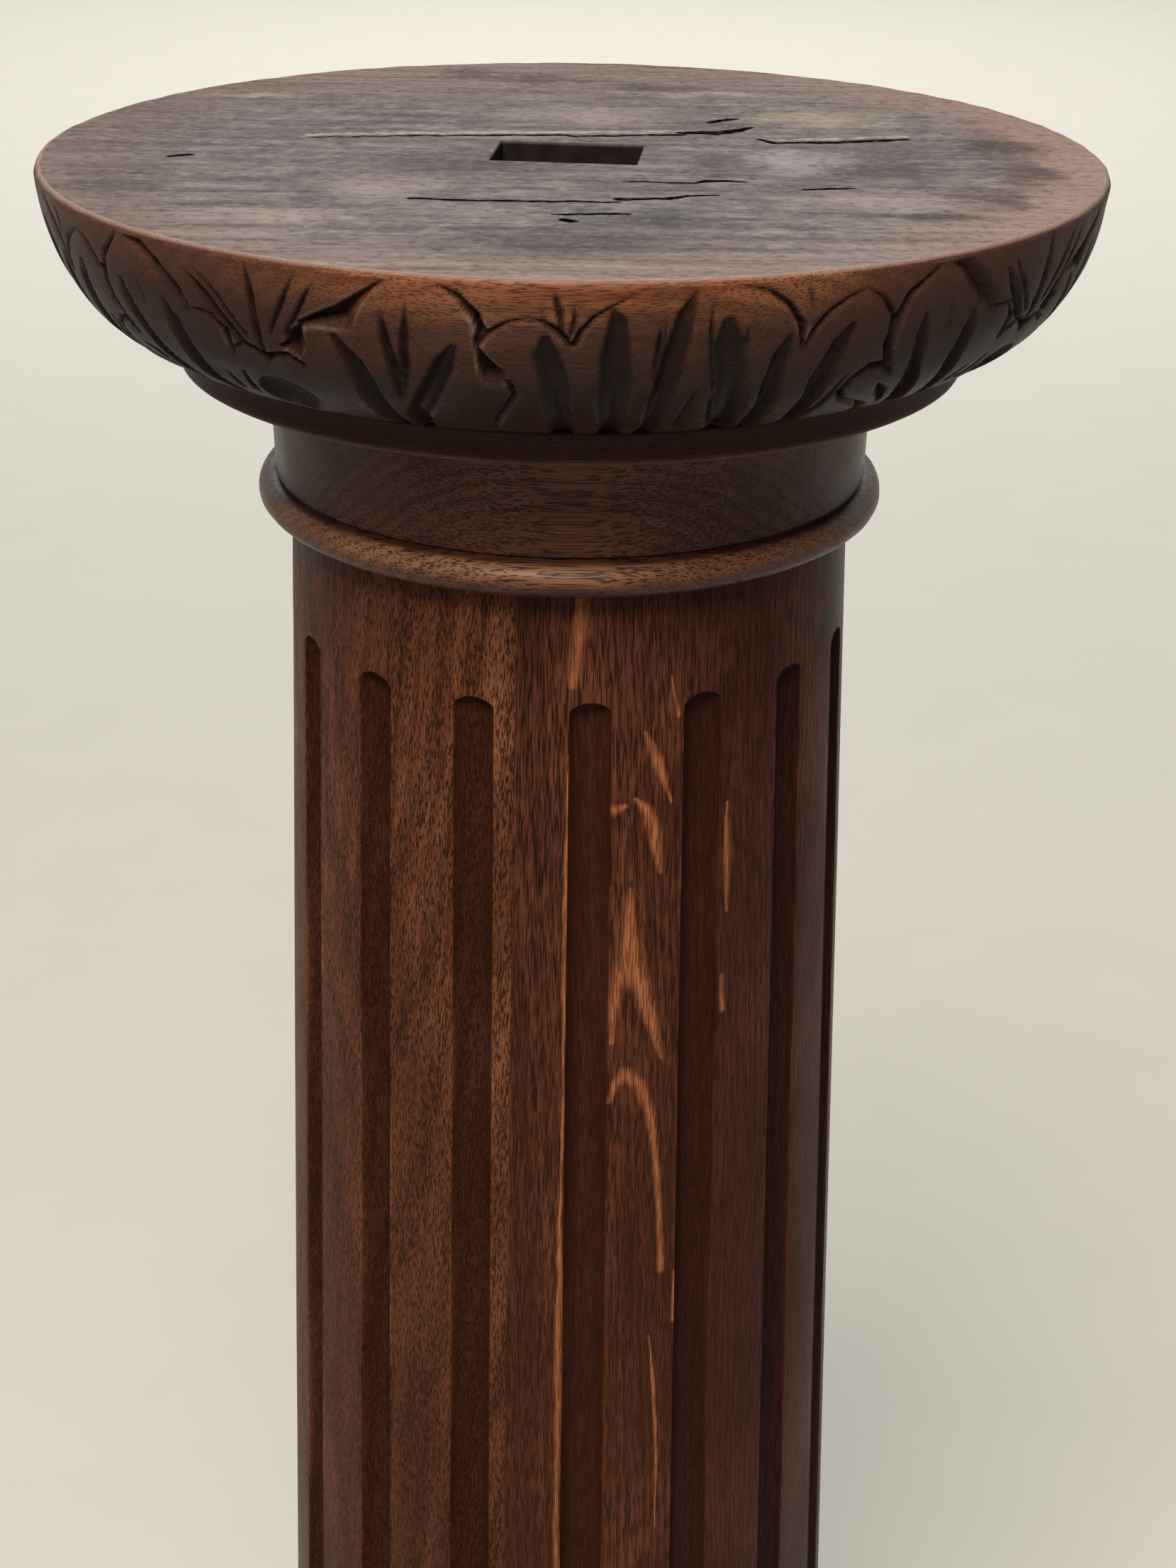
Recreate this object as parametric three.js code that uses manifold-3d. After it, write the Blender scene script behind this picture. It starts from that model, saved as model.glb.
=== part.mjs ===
import * as THREE from "three";
import { mergeVertices } from "three/addons/utils/BufferGeometryUtils.js";
import Module from "manifold-3d";

// Fluted oak column with a carved round capital, in millimetres, standing on z = 0, +Z up.
// Angles run around the column in degrees, from 0 at the front (-Y) towards +X.

// Heights of the stacked pieces
const TOTAL_HEIGHT = 1000;
const CAPITAL_HEIGHT = 56.5;
const NECKING_HEIGHT = 45;
const BASE_DISC_HEIGHT = 58;
const BASE_RING_HEIGHT = 44;

// Capital: a flat top, a carved quarter-round and a lip
const TOP_RADIUS = 150;
const RIM_ROUNDING = 1.6;
const OVOLO_FOOT_RADIUS = 112.2;
const OVOLO_INNER_RADIUS = 92;
const OVOLO_DEPTH = 48;
const OVOLO_SIDE_POWER = 0.59;
const OVOLO_DOWN_POWER = 1.15;
const OVOLO_FINE_STEPS = 200;
const LIP_RADIUS = 113.6;
const LIP_ROUNDING = 1.2;
const CARVED_ROWS = 10;
const CARVED_COLUMNS = 160;

// Leaves: four of three fingers each with an eye between them, the leaf at the back a little wider
const LEAF_FINGERS = [-17, 12, 38];
const LEAF_START = -31.5;
const LEAF_PITCH = 85.5;
const LEAF_COUNT = 4;
const BACK_LEAF = 2;
const MM_PER_DEGREE = 2.44;
const MIDDLE_LOBE = { tip: 1, tipRadius: 15.5, footRadius: 8 };
const EYE_SIDE_LOBES = [
  { reach: 0.83, tip: 26, tipRadius: 6.5, footRadius: 3.5 },
  { reach: 0.61, tip: 15, tipRadius: 7, footRadius: 4 },
];
const PLAIN_SIDE_LOBES = [
  { reach: 0.74, tip: 8, tipRadius: 9, footRadius: 4 },
  { reach: 0.52, tip: 28, tipRadius: 4.5, footRadius: 3 },
];
const FOOT_GATHER = 0.62;
const LOBE_EDGE_DROP = 1.1;
const LOBE_EDGE_ROUNDING = 2.5;
const GROUND_CUT = 3.4;
const GROUND_SLOPE = 4.5;
const EYE_DOWN = 42;
const EYE_HALF_LENGTH = 8;
const EYE_HALF_WIDTH = 3.6;
const EYE_CUT = 4;
const UNCARVED_RIM = 0.5;

// Mortise in the top
const MORTISE_LENGTH = 41;
const MORTISE_WIDTH = 28.5;
const MORTISE_DEPTH = 45;
const MORTISE_CENTRE_X = -1.6;
const MORTISE_CENTRE_Y = -1.8;
const MORTISE_TURN = -5.5;

// Necking: a plain neck over a half-round bead
const NECK_RADIUS = 87.6;
const NECK_TOP_RADIUS = 89.2;
const BEAD_RADIUS = 5;
const TURNED_SEGMENTS = 44;
const BEAD_STEPS = 4;

// Shaft: taper with a swelling towards the foot, and flutes with round ends
const SHAFT_TOP_RADIUS = 83;
const SHAFT_SLOPE = 0.0327;
const STRAIGHT_TAPER = 390;
const FLUTE_COUNT = 16;
const FIRST_FLUTE = 4.4;
const FLUTE_HALF_ANGLE = 4.1;
const FLUTE_DEPTH = 4.3;
const FLUTE_TOP_MARGIN = 32.8;
const FLUTE_FOOT_MARGIN = 28;
const FLUTE_COLUMNS = [-1, -0.5, 0, 0.5, 1];
const FLUTE_END_SHARE = 0.62;
const FLUTE_END_ROWS = [0.97, 0.8, 0.5, 0];
const SHAFT_MIDDLE_ROWS = 2;

// Base ring: a hollow under a bead
const RING_FOOT_RADIUS = 124;
const RING_WAIST_RADIUS = 107;
const RING_BEAD_RADIUS = 6;
const RING_BAND = 5;
const HOLLOW_STEPS = 4;

// Base disc: a plinth band, a rounded shoulder and a fillet
const DISC_RADIUS = 160;
const DISC_EDGE = 2.5;
const DISC_BAND_TOP = 26;
const DISC_STEP = 5;
const SHOULDER_RADIUS = 22;
const FILLET_RADIUS = 131;
const SHOULDER_STEPS = 4;

const shaftBottom = BASE_DISC_HEIGHT + BASE_RING_HEIGHT;
const neckingBottom = TOTAL_HEIGHT - CAPITAL_HEIGHT - NECKING_HEIGHT;
const capitalBottom = TOTAL_HEIGHT - CAPITAL_HEIGHT;
const radians = THREE.MathUtils.degToRad;

// Angle of each finger, leaf by leaf from the one at the front: the leaf at the back takes what is left
function fingerAngles() {
  const backPitch = 360 - (LEAF_COUNT - 1) * LEAF_PITCH;
  const angles = [];
  let start = LEAF_START;
  for (let leaf = 0; leaf < LEAF_COUNT; leaf += 1) {
    const pitch = leaf === BACK_LEAF ? backPitch : LEAF_PITCH;
    for (const finger of LEAF_FINGERS) {
      angles.push(start + ((finger - LEAF_START) * pitch) / LEAF_PITCH);
    }
    start += pitch;
  }
  return angles;
}

// True for the last finger of a leaf, which has an eye after it
function eyeAfter(finger) {
  return finger % LEAF_FINGERS.length === LEAF_FINGERS.length - 1;
}

// Every lobe of every finger, from the back of the carving to the front
function leafLobes(angles, curveLength) {
  const lobes = [];
  const add = (finger, offset, shape) => {
    const foot = curveLength + shape.footRadius;
    lobes.push({ ...shape, angle: finger + offset, footAngle: finger + offset * FOOT_GATHER, foot });
  };
  angles.forEach((finger, i) => {
    const next = i + 1 < angles.length ? angles[i + 1] : angles[0] + 360;
    const previous = i > 0 ? angles[i - 1] : angles[angles.length - 1] - 360;
    const right = (next - finger) / 2;
    const left = (finger - previous) / 2;
    const rightShapes = eyeAfter(i) ? EYE_SIDE_LOBES : PLAIN_SIDE_LOBES;
    const leftShapes = eyeAfter(i + angles.length - 1) ? EYE_SIDE_LOBES : PLAIN_SIDE_LOBES;
    rightShapes.forEach((shape) => add(finger, right * shape.reach, shape));
    leftShapes.forEach((shape) => add(finger, -left * shape.reach, shape));
    add(finger, 0, MIDDLE_LOBE);
  });
  return lobes;
}

// Distance around the capital from one angle to another, in millimetres, the shorter way
function along(angle, from) {
  return (THREE.MathUtils.euclideanModulo(angle - from + 180, 360) - 180) * MM_PER_DEGREE;
}

// Distance to the outline of a lobe, negative inside it: a tongue from its foot to its tip
function lobeDistance(lobe, angle, down) {
  const tipDown = lobe.tip + lobe.tipRadius;
  const lean = along(lobe.angle, lobe.footAngle);
  const rise = tipDown - lobe.foot;
  const x = along(angle, lobe.footAngle);
  const y = down - lobe.foot;
  const share = THREE.MathUtils.clamp((x * lean + y * rise) / (lean * lean + rise * rise), 0, 1);
  const radius = THREE.MathUtils.lerp(lobe.footRadius, lobe.tipRadius, share);
  return Math.hypot(x - lean * share, y - rise * share) - radius;
}

// Depth of the carving under the plain ovolo
function carvedDepth(lobes, eyes, angle, down) {
  if (down < UNCARVED_RIM) {
    return 0;
  }
  let depth = 0;
  for (const lobe of lobes) {
    const outside = lobeDistance(lobe, angle, down);
    depth =
      outside > 0
        ? Math.max(depth, GROUND_CUT * Math.exp(-outside / GROUND_SLOPE))
        : LOBE_EDGE_DROP * Math.exp(outside / LOBE_EDGE_ROUNDING);
  }
  for (const eye of eyes) {
    const reach = Math.hypot(along(angle, eye) / EYE_HALF_WIDTH, (down - EYE_DOWN) / EYE_HALF_LENGTH);
    depth = Math.max(depth, reach < 1 ? EYE_CUT * Math.sqrt(1 - reach * reach) : 0);
  }
  return depth;
}

// Ovolo from the rim down to the lip: equally spaced points with their outward direction
function ovoloPoints() {
  const fine = [];
  for (let i = 0; i <= OVOLO_FINE_STEPS; i += 1) {
    const turn = (i / OVOLO_FINE_STEPS) * (Math.PI / 2);
    const side = (TOP_RADIUS - OVOLO_INNER_RADIUS) * Math.max(Math.cos(turn), 0) ** OVOLO_SIDE_POWER;
    const down = (OVOLO_DEPTH - RIM_ROUNDING) * Math.sin(turn) ** OVOLO_DOWN_POWER;
    const point = new THREE.Vector2(OVOLO_INNER_RADIUS + side, TOTAL_HEIGHT - RIM_ROUNDING - down);
    if (point.x >= OVOLO_FOOT_RADIUS) {
      fine.push(point);
    }
  }
  const curve = new THREE.SplineCurve(fine);
  const length = curve.getLength();
  const points = [];
  for (let row = 0; row <= CARVED_ROWS; row += 1) {
    const share = row / CARVED_ROWS;
    const tangent = curve.getTangentAt(share);
    const out = new THREE.Vector2(-tangent.y, tangent.x);
    points.push({ point: curve.getPointAt(share), out, down: share * length });
  }
  return { points, length };
}

// A turned solid: the profile runs from the axis at the foot, out and up, back to the axis at the top
function turned(profile, segments) {
  const outline = profile.map(([radius, height]) => new THREE.Vector2(radius, height));
  return new THREE.LatheGeometry(outline, segments).rotateX(Math.PI / 2);
}

// Points on an arc of a turned profile, between two angles in degrees measured up from outwards
function arc(radius, centreRadius, centreHeight, from, to, steps) {
  const points = [];
  for (let i = 0; i <= steps; i += 1) {
    const turn = radians(THREE.MathUtils.lerp(from, to, i / steps));
    points.push([centreRadius + radius * Math.cos(turn), centreHeight + radius * Math.sin(turn)]);
  }
  return points;
}

// Lays each vertex of a turned solid out again at the angle, radius and height that place() gives
function reshaped(profile, segments, place) {
  const geometry = turned(profile, segments);
  const position = geometry.getAttribute("position");
  for (let column = 0; column <= segments; column += 1) {
    for (let row = 0; row < profile.length; row += 1) {
      const { angle, radius, height } = place(column % segments, row);
      const turn = radians(angle);
      const index = column * profile.length + row;
      position.setXYZ(index, radius * Math.sin(turn), -radius * Math.cos(turn), height);
    }
  }
  return geometry;
}

function capitalGeometry() {
  const ovolo = ovoloPoints();
  const angles = fingerAngles();
  const lobes = leafLobes(angles, ovolo.length);
  const eyes = angles
    .map((finger, i) => (finger + (i + 1 < angles.length ? angles[i + 1] : angles[0] + 360)) / 2)
    .filter((eye, i) => eyeAfter(i));
  const carved = [...ovolo.points].reverse();
  const lipTop = carved[0].point.y;
  const rows = [
    { radius: 0, height: capitalBottom },
    { radius: LIP_RADIUS - LIP_ROUNDING, height: capitalBottom },
    { radius: LIP_RADIUS, height: capitalBottom + LIP_ROUNDING },
    { radius: LIP_RADIUS, height: lipTop },
    ...carved.map(({ point, out, down }) => ({ radius: point.x, height: point.y, out, down })),
    { radius: TOP_RADIUS - RIM_ROUNDING, height: TOTAL_HEIGHT },
    { radius: 0, height: TOTAL_HEIGHT },
  ];
  const profile = rows.map((row) => [row.radius, row.height]);
  return reshaped(profile, CARVED_COLUMNS, (column, index) => {
    const row = rows[index];
    const angle = (column * 360) / CARVED_COLUMNS;
    const depth = row.out ? carvedDepth(lobes, eyes, angle, row.down) : 0;
    const radius = row.radius - (row.out ? row.out.x * depth : 0);
    const height = row.height - (row.out ? row.out.y * depth : 0);
    return { angle, radius, height };
  });
}

function neckingGeometry() {
  const beadHeight = neckingBottom + BEAD_RADIUS;
  return turned(
    [
      [0, neckingBottom],
      ...arc(BEAD_RADIUS, NECK_RADIUS, beadHeight, -90, 90, BEAD_STEPS),
      [NECK_RADIUS, capitalBottom - BEAD_RADIUS],
      [NECK_TOP_RADIUS, capitalBottom],
      [0, capitalBottom],
    ],
    TURNED_SEGMENTS,
  );
}

// Radius of the shaft: an even taper at the top, then a swelling whose slope runs out at the foot
function shaftRadius(height) {
  const below = neckingBottom - height;
  const straight = Math.min(below, STRAIGHT_TAPER);
  const bent = Math.max(below - STRAIGHT_TAPER, 0);
  const bentLength = neckingBottom - shaftBottom - STRAIGHT_TAPER;
  return SHAFT_TOP_RADIUS + SHAFT_SLOPE * (straight + bent - (bent * bent) / (2 * bentLength));
}

// Rows of the shaft with how far each lies past the straight part of a flute, as a share of the flute's end
function shaftRows() {
  const endLength = (height) => shaftRadius(height) * radians(FLUTE_HALF_ANGLE) * FLUTE_END_SHARE;
  const topTip = neckingBottom - FLUTE_TOP_MARGIN;
  const footTip = shaftBottom + FLUTE_FOOT_MARGIN;
  const topEnd = topTip - endLength(topTip);
  const footEnd = footTip + endLength(footTip);
  const rows = [{ height: shaftBottom, past: 1 }];
  rows.push({ height: footTip, past: 1 });
  FLUTE_END_ROWS.forEach((past) => rows.push({ height: footEnd - past * endLength(footTip), past }));
  for (let i = 1; i <= SHAFT_MIDDLE_ROWS; i += 1) {
    rows.push({ height: THREE.MathUtils.lerp(footEnd, topEnd, i / (SHAFT_MIDDLE_ROWS + 1)), past: 0 });
  }
  const rising = [...FLUTE_END_ROWS].reverse();
  rising.forEach((past) => rows.push({ height: topEnd + past * endLength(topTip), past }));
  rows.push({ height: topTip, past: 1 });
  rows.push({ height: neckingBottom, past: 1 });
  return rows;
}

function shaftGeometry() {
  const rows = shaftRows();
  const columns = FLUTE_COLUMNS.length + 1;
  const pitch = 360 / FLUTE_COUNT;
  const profile = [
    [0, shaftBottom],
    ...rows.map((row) => [shaftRadius(row.height), row.height]),
    [0, neckingBottom],
  ];
  return reshaped(profile, FLUTE_COUNT * columns, (column, index) => {
    const flute = FIRST_FLUTE + Math.floor(column / columns) * pitch;
    const place = column % columns;
    const [plainRadius, height] = profile[index];
    const row = rows[index - 1];
    if (!row) {
      return { angle: flute, radius: plainRadius, height };
    }
    const onLand = place === FLUTE_COLUMNS.length;
    const narrowed = Math.sqrt(1 - Math.min(row.past, FLUTE_END_ROWS[0]) ** 2);
    const angle = flute + (onLand ? pitch / 2 : FLUTE_COLUMNS[place] * narrowed * FLUTE_HALF_ANGLE);
    const halfWidth = plainRadius * radians(FLUTE_HALF_ANGLE);
    const depth = (FLUTE_DEPTH * plainRadius) / SHAFT_TOP_RADIUS;
    const curve = (halfWidth * halfWidth + depth * depth) / (2 * depth);
    const aside = onLand ? halfWidth : FLUTE_COLUMNS[place] * narrowed * halfWidth;
    const reach = aside * aside + (row.past * halfWidth) ** 2;
    const cut = Math.max(Math.sqrt(Math.max(curve * curve - reach, 0)) - (curve - depth), 0);
    return { angle, radius: plainRadius - (row.past < 1 ? cut : 0), height };
  });
}

function baseRingGeometry() {
  const beadHeight = shaftBottom - RING_BEAD_RADIUS;
  const hollowTop = beadHeight - RING_BEAD_RADIUS;
  const hollowFoot = BASE_DISC_HEIGHT + RING_BAND;
  const hollow = [];
  for (let i = 0; i <= HOLLOW_STEPS; i += 1) {
    const turn = (i / HOLLOW_STEPS) * (Math.PI / 2);
    const radius = RING_WAIST_RADIUS + (RING_FOOT_RADIUS - RING_WAIST_RADIUS) * (1 - Math.sin(turn));
    const height = hollowFoot + (hollowTop - hollowFoot) * (1 - Math.cos(turn));
    hollow.push([radius, height]);
  }
  return turned(
    [
      [0, BASE_DISC_HEIGHT],
      [RING_FOOT_RADIUS, BASE_DISC_HEIGHT],
      ...hollow,
      ...arc(RING_BEAD_RADIUS, RING_WAIST_RADIUS, beadHeight, -90, 90, BEAD_STEPS).slice(1),
      [0, shaftBottom],
    ],
    TURNED_SEGMENTS,
  );
}

function baseDiscGeometry() {
  const shoulderRadius = DISC_RADIUS - DISC_STEP - SHOULDER_RADIUS;
  const shoulderHeight = DISC_BAND_TOP;
  return turned(
    [
      [0, 0],
      [DISC_RADIUS - DISC_EDGE, 0],
      [DISC_RADIUS, DISC_EDGE],
      [DISC_RADIUS, DISC_BAND_TOP - DISC_EDGE],
      [DISC_RADIUS - DISC_EDGE, DISC_BAND_TOP],
      ...arc(SHOULDER_RADIUS, shoulderRadius, shoulderHeight, 0, 90, SHOULDER_STEPS),
      [FILLET_RADIUS, shoulderHeight + SHOULDER_RADIUS],
      [FILLET_RADIUS, BASE_DISC_HEIGHT],
      [0, BASE_DISC_HEIGHT],
    ],
    TURNED_SEGMENTS,
  );
}

const wasm = await Module();
wasm.setup();

// The geometry as a solid that can be cut
function solid(geometry) {
  const bare = geometry.clone();
  bare.deleteAttribute("normal");
  bare.deleteAttribute("uv");
  const merged = mergeVertices(bare);
  const triVerts = new Uint32Array(merged.index.array);
  const vertProperties = merged.attributes.position.array;
  return new wasm.Manifold(new wasm.Mesh({ numProp: 3, vertProperties, triVerts }));
}

// One geometry with another cut out of it
function cut(geometry, cutter) {
  const mesh = solid(geometry).subtract(solid(cutter)).getMesh();
  const result = new THREE.BufferGeometry();
  result.setAttribute("position", new THREE.BufferAttribute(mesh.vertProperties, 3));
  result.setIndex(new THREE.BufferAttribute(mesh.triVerts, 1));
  result.computeVertexNormals();
  return result;
}

// The mortise, drawn taller than it is deep so that it breaks cleanly through the top
function mortiseGeometry() {
  return new THREE.BoxGeometry(MORTISE_LENGTH, MORTISE_WIDTH, 2 * MORTISE_DEPTH)
    .rotateZ(radians(MORTISE_TURN))
    .translate(MORTISE_CENTRE_X, MORTISE_CENTRE_Y, TOTAL_HEIGHT);
}

function oak(color, roughness) {
  return new THREE.MeshStandardMaterial({ color, roughness, metalness: 0 });
}

const column = new THREE.Group();
column.name = "fluted_column";

function piece(name, geometry, material) {
  const mesh = new THREE.Mesh(geometry, material);
  mesh.name = name;
  column.add(mesh);
}

piece("capital", cut(capitalGeometry(), mortiseGeometry()), oak("#5a3a26", 0.6));
piece("necking", neckingGeometry(), oak("#3d2519", 0.5));
piece("shaft", shaftGeometry(), oak("#4f3020", 0.5));
piece("base_ring", baseRingGeometry(), oak("#422819", 0.5));
piece("base_disc", baseDiscGeometry(), oak("#4a2d1d", 0.55));

export default column;
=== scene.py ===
import math

import bpy
import numpy as np
from mathutils import Matrix, Vector


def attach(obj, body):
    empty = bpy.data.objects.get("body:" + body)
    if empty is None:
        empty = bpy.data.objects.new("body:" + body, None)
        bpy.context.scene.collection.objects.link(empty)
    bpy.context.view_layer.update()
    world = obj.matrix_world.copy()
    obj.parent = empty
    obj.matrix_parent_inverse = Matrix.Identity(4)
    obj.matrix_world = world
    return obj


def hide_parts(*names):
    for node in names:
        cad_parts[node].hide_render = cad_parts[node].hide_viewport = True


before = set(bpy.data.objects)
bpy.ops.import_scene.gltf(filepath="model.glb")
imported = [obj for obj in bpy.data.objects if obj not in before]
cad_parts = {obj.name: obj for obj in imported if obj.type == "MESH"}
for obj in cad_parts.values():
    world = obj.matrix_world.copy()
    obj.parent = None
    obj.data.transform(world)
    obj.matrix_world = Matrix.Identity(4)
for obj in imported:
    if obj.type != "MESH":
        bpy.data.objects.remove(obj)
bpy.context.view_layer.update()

# Sizes in millimetres in the frame of the solids, angles in degrees from the front (-Y) towards +X
MM = 0.001
SHARP_ANGLE = 42.0
# Flat ends of the pieces are closed from this radius inwards
CORE_RADIUS = 40.0
TOTAL_HEIGHT = 1000.0
CAPITAL_HEIGHT = 56.5
NECKING_HEIGHT = 45.0
BASE_DISC_HEIGHT = 58.0
BASE_RING_HEIGHT = 44.0
CAPITAL_BOTTOM = TOTAL_HEIGHT - CAPITAL_HEIGHT
NECKING_BOTTOM = CAPITAL_BOTTOM - NECKING_HEIGHT
SHAFT_BOTTOM = BASE_DISC_HEIGHT + BASE_RING_HEIGHT

# Capital
TOP_RADIUS = 150.0
RIM_ROUNDING = 1.6
OVOLO_FOOT_RADIUS = 112.2
OVOLO_INNER_RADIUS = 92.0
OVOLO_DEPTH = 48.0
OVOLO_SIDE_POWER = 0.59
OVOLO_DOWN_POWER = 1.15
LIP_RADIUS = 113.6
LIP_ROUNDING = 1.2
LIP_TOP_ROUNDING = 0.9
LIP_FOOT_INSET = 0.35
LIP_HEAD_INSET = 0.1
LIP_SIDE_FOOT = 3.6
LIP_SIDE_HEAD = 1.4
# Painted shade on the lip, which lies in the shadow of the ovolo's overhang
LIP_SHADE = 0.25
FRONT_SPAN = 74.0
FRONT_COLUMNS = 570
BACK_COLUMNS = 390
SEEN_LENGTH = 46.0
SEEN_ROWS = 66
FOOT_ROWS = 12
TOP_RINGS = 6
TOP_UNEVEN = 0.35
TOP_SUNK = 0.1
RIM_UNEVEN = 0.18
RIM_WORN = 0.12
TOOL_MARKS = 0.12

# Leaves of the capital: one leaf of three fingers, repeated four times, the one at the back a little wider
LEAF_COUNT = 4
LEAF_START = -31.5
LEAF_PITCH = 85.5
LEAVES_BEFORE_BACK = 2
SHOULDER_SHARE = 0.22
SHOULDER_REACH = 3.0
LEAST_HALF_WIDTH = 0.55
CUT_WIDENING = 1.25
CUT_DEEPENING = 1.3
# Darkness of the hollows and of the big facets: dirt with painted shade, the facets kept paler as lit
HOLLOW_STAIN_AND_SHADE = 0.95
FACET_STAIN_AND_SHADE = 0.4
FACET_WIDENING = 0.6
# Share of the darkness taken off a V cut's flank that faces the light: a painted highlight
FACET_PAINTED_LIGHT = 0.75
RIDGE_BLUR = 3
EYE = {"angle": 54.2, "down": 41.0, "half_width": 9.0, "half_length": 8.0, "depth": 4.0}

# Cuts of one leaf: runs of points, each an angle, a distance down from the rim, a half width and a depth
CRESCENTS = [
    # Left and right of the first finger
    [(-17, 0.3, 0.3, 0.5), (-19.6, 5.6, 1.1, 1.8), (-21.6, 10.6, 2.3, 3.2),
     (-24, 12.2, 1.4, 2.4), (-26, 14, 0.7, 1.2)],
    [(-25.9, 14.5, 0.5, 1), (-26.9, 18.5, 2, 2.8), (-27.4, 21.2, 1.8, 2.8), (-28.6, 21.5, 0.6, 1)],
    [(-26.8, 26.5, 0.8, 1.2), (-28.2, 24, 0.7, 1), (-29.5, 24.3, 0.7, 1.2), (-31, 26.2, 1, 2)],
    [(-12.4, 0.6, 0.3, 0.5), (-10.3, 3.2, 0.8, 1.2), (-8.7, 7.2, 1.3, 2.2),
     (-8.2, 11, 1.3, 2.4), (-8.6, 15.6, 0.8, 1.4)],
    # Lobes on each side of the first joint and the pocket under them
    [(-8.5, 15.8, 0.5, 0.9), (-7.3, 11.2, 0.7, 1.2), (-5.8, 8.6, 0.55, 0.8), (-4, 7.4, 0.4, 0.5)],
    [(-4, 7.4, 0.4, 0.5), (-2.7, 8.4, 0.6, 0.9), (-1.4, 10.8, 0.9, 1.4), (-0.2, 14.2, 0.8, 1.4)],
    [(-8.5, 16.5, 0.5, 1), (-7.9, 20.5, 1.8, 2.4), (-7.4, 23, 2.6, 2.8)],
    [(-5.7, 26, 0.8, 1.2), (-5.3, 30, 0.8, 1.2), (-6.8, 38, 0.8, 1.2), (-7.8, 45, 1, 1.4)],
    [(0.2, 14.5, 0.8, 1.4), (0.6, 11, 0.7, 1.2), (1.7, 7.6, 0.6, 1),
     (3.2, 5, 0.5, 0.8), (6.5, 0.2, 0.25, 0.3)],
    # Right of the second finger, the lobe after it and the curled lobe below
    [(15.2, 0.2, 0.3, 0.4), (18, 2, 0.5, 0.8), (20.4, 6, 0.9, 1.5),
     (21.8, 11, 1, 1.8), (22.3, 17, 0.7, 1.2)],
    [(22.6, 17.5, 0.5, 0.9), (23.1, 12.8, 0.7, 1.2), (24.4, 8.2, 0.7, 1.1),
     (26.3, 5, 0.5, 0.7), (28, 3.6, 0.35, 0.4)],
    [(28, 3.6, 0.35, 0.4), (29.8, 6.5, 0.6, 0.9), (31.4, 11.5, 0.9, 1.5), (31.7, 16, 1, 1.6)],
    [(33.6, 29.5, 0.8, 1), (32.3, 26.6, 1, 1.5), (30.6, 26.8, 0.9, 1.4),
     (29.3, 30, 0.9, 1.6), (28.8, 35, 1, 2)],
    [(28.8, 35, 1, 2), (29.6, 39.5, 0.9, 2), (31.2, 42, 0.9, 2),
     (34, 46, 1.2, 2.2), (36, 55, 1.3, 2.2)],
    # Left and right of the third finger
    [(32.9, 27, 1.2, 1.8), (31.9, 20, 1.5, 2.4), (32, 13, 1.3, 2.2),
     (32.9, 7, 1, 1.6), (36.5, 0.3, 0.35, 0.4)],
    [(45.2, 16, 0.5, 0.8), (47, 15.2, 0.4, 0.6), (48.6, 15.6, 0.6, 0.9),
     (50, 20, 1, 1.6), (49.9, 26, 1, 1.6)],
    [(54.3, 26.5, 1, 2), (53.2, 24, 0.8, 1.6), (51.9, 23, 0.6, 1), (50.5, 25, 0.5, 0.8)],
]
FACETS = [
    [(37.4, 0.2, 0.4, 0.5), (39.8, 1.8, 1.8, 2), (42.2, 6.5, 2.6, 2.6),
     (44, 11, 2.4, 2.6), (45.2, 14, 1.4, 1.6)],
]
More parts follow.
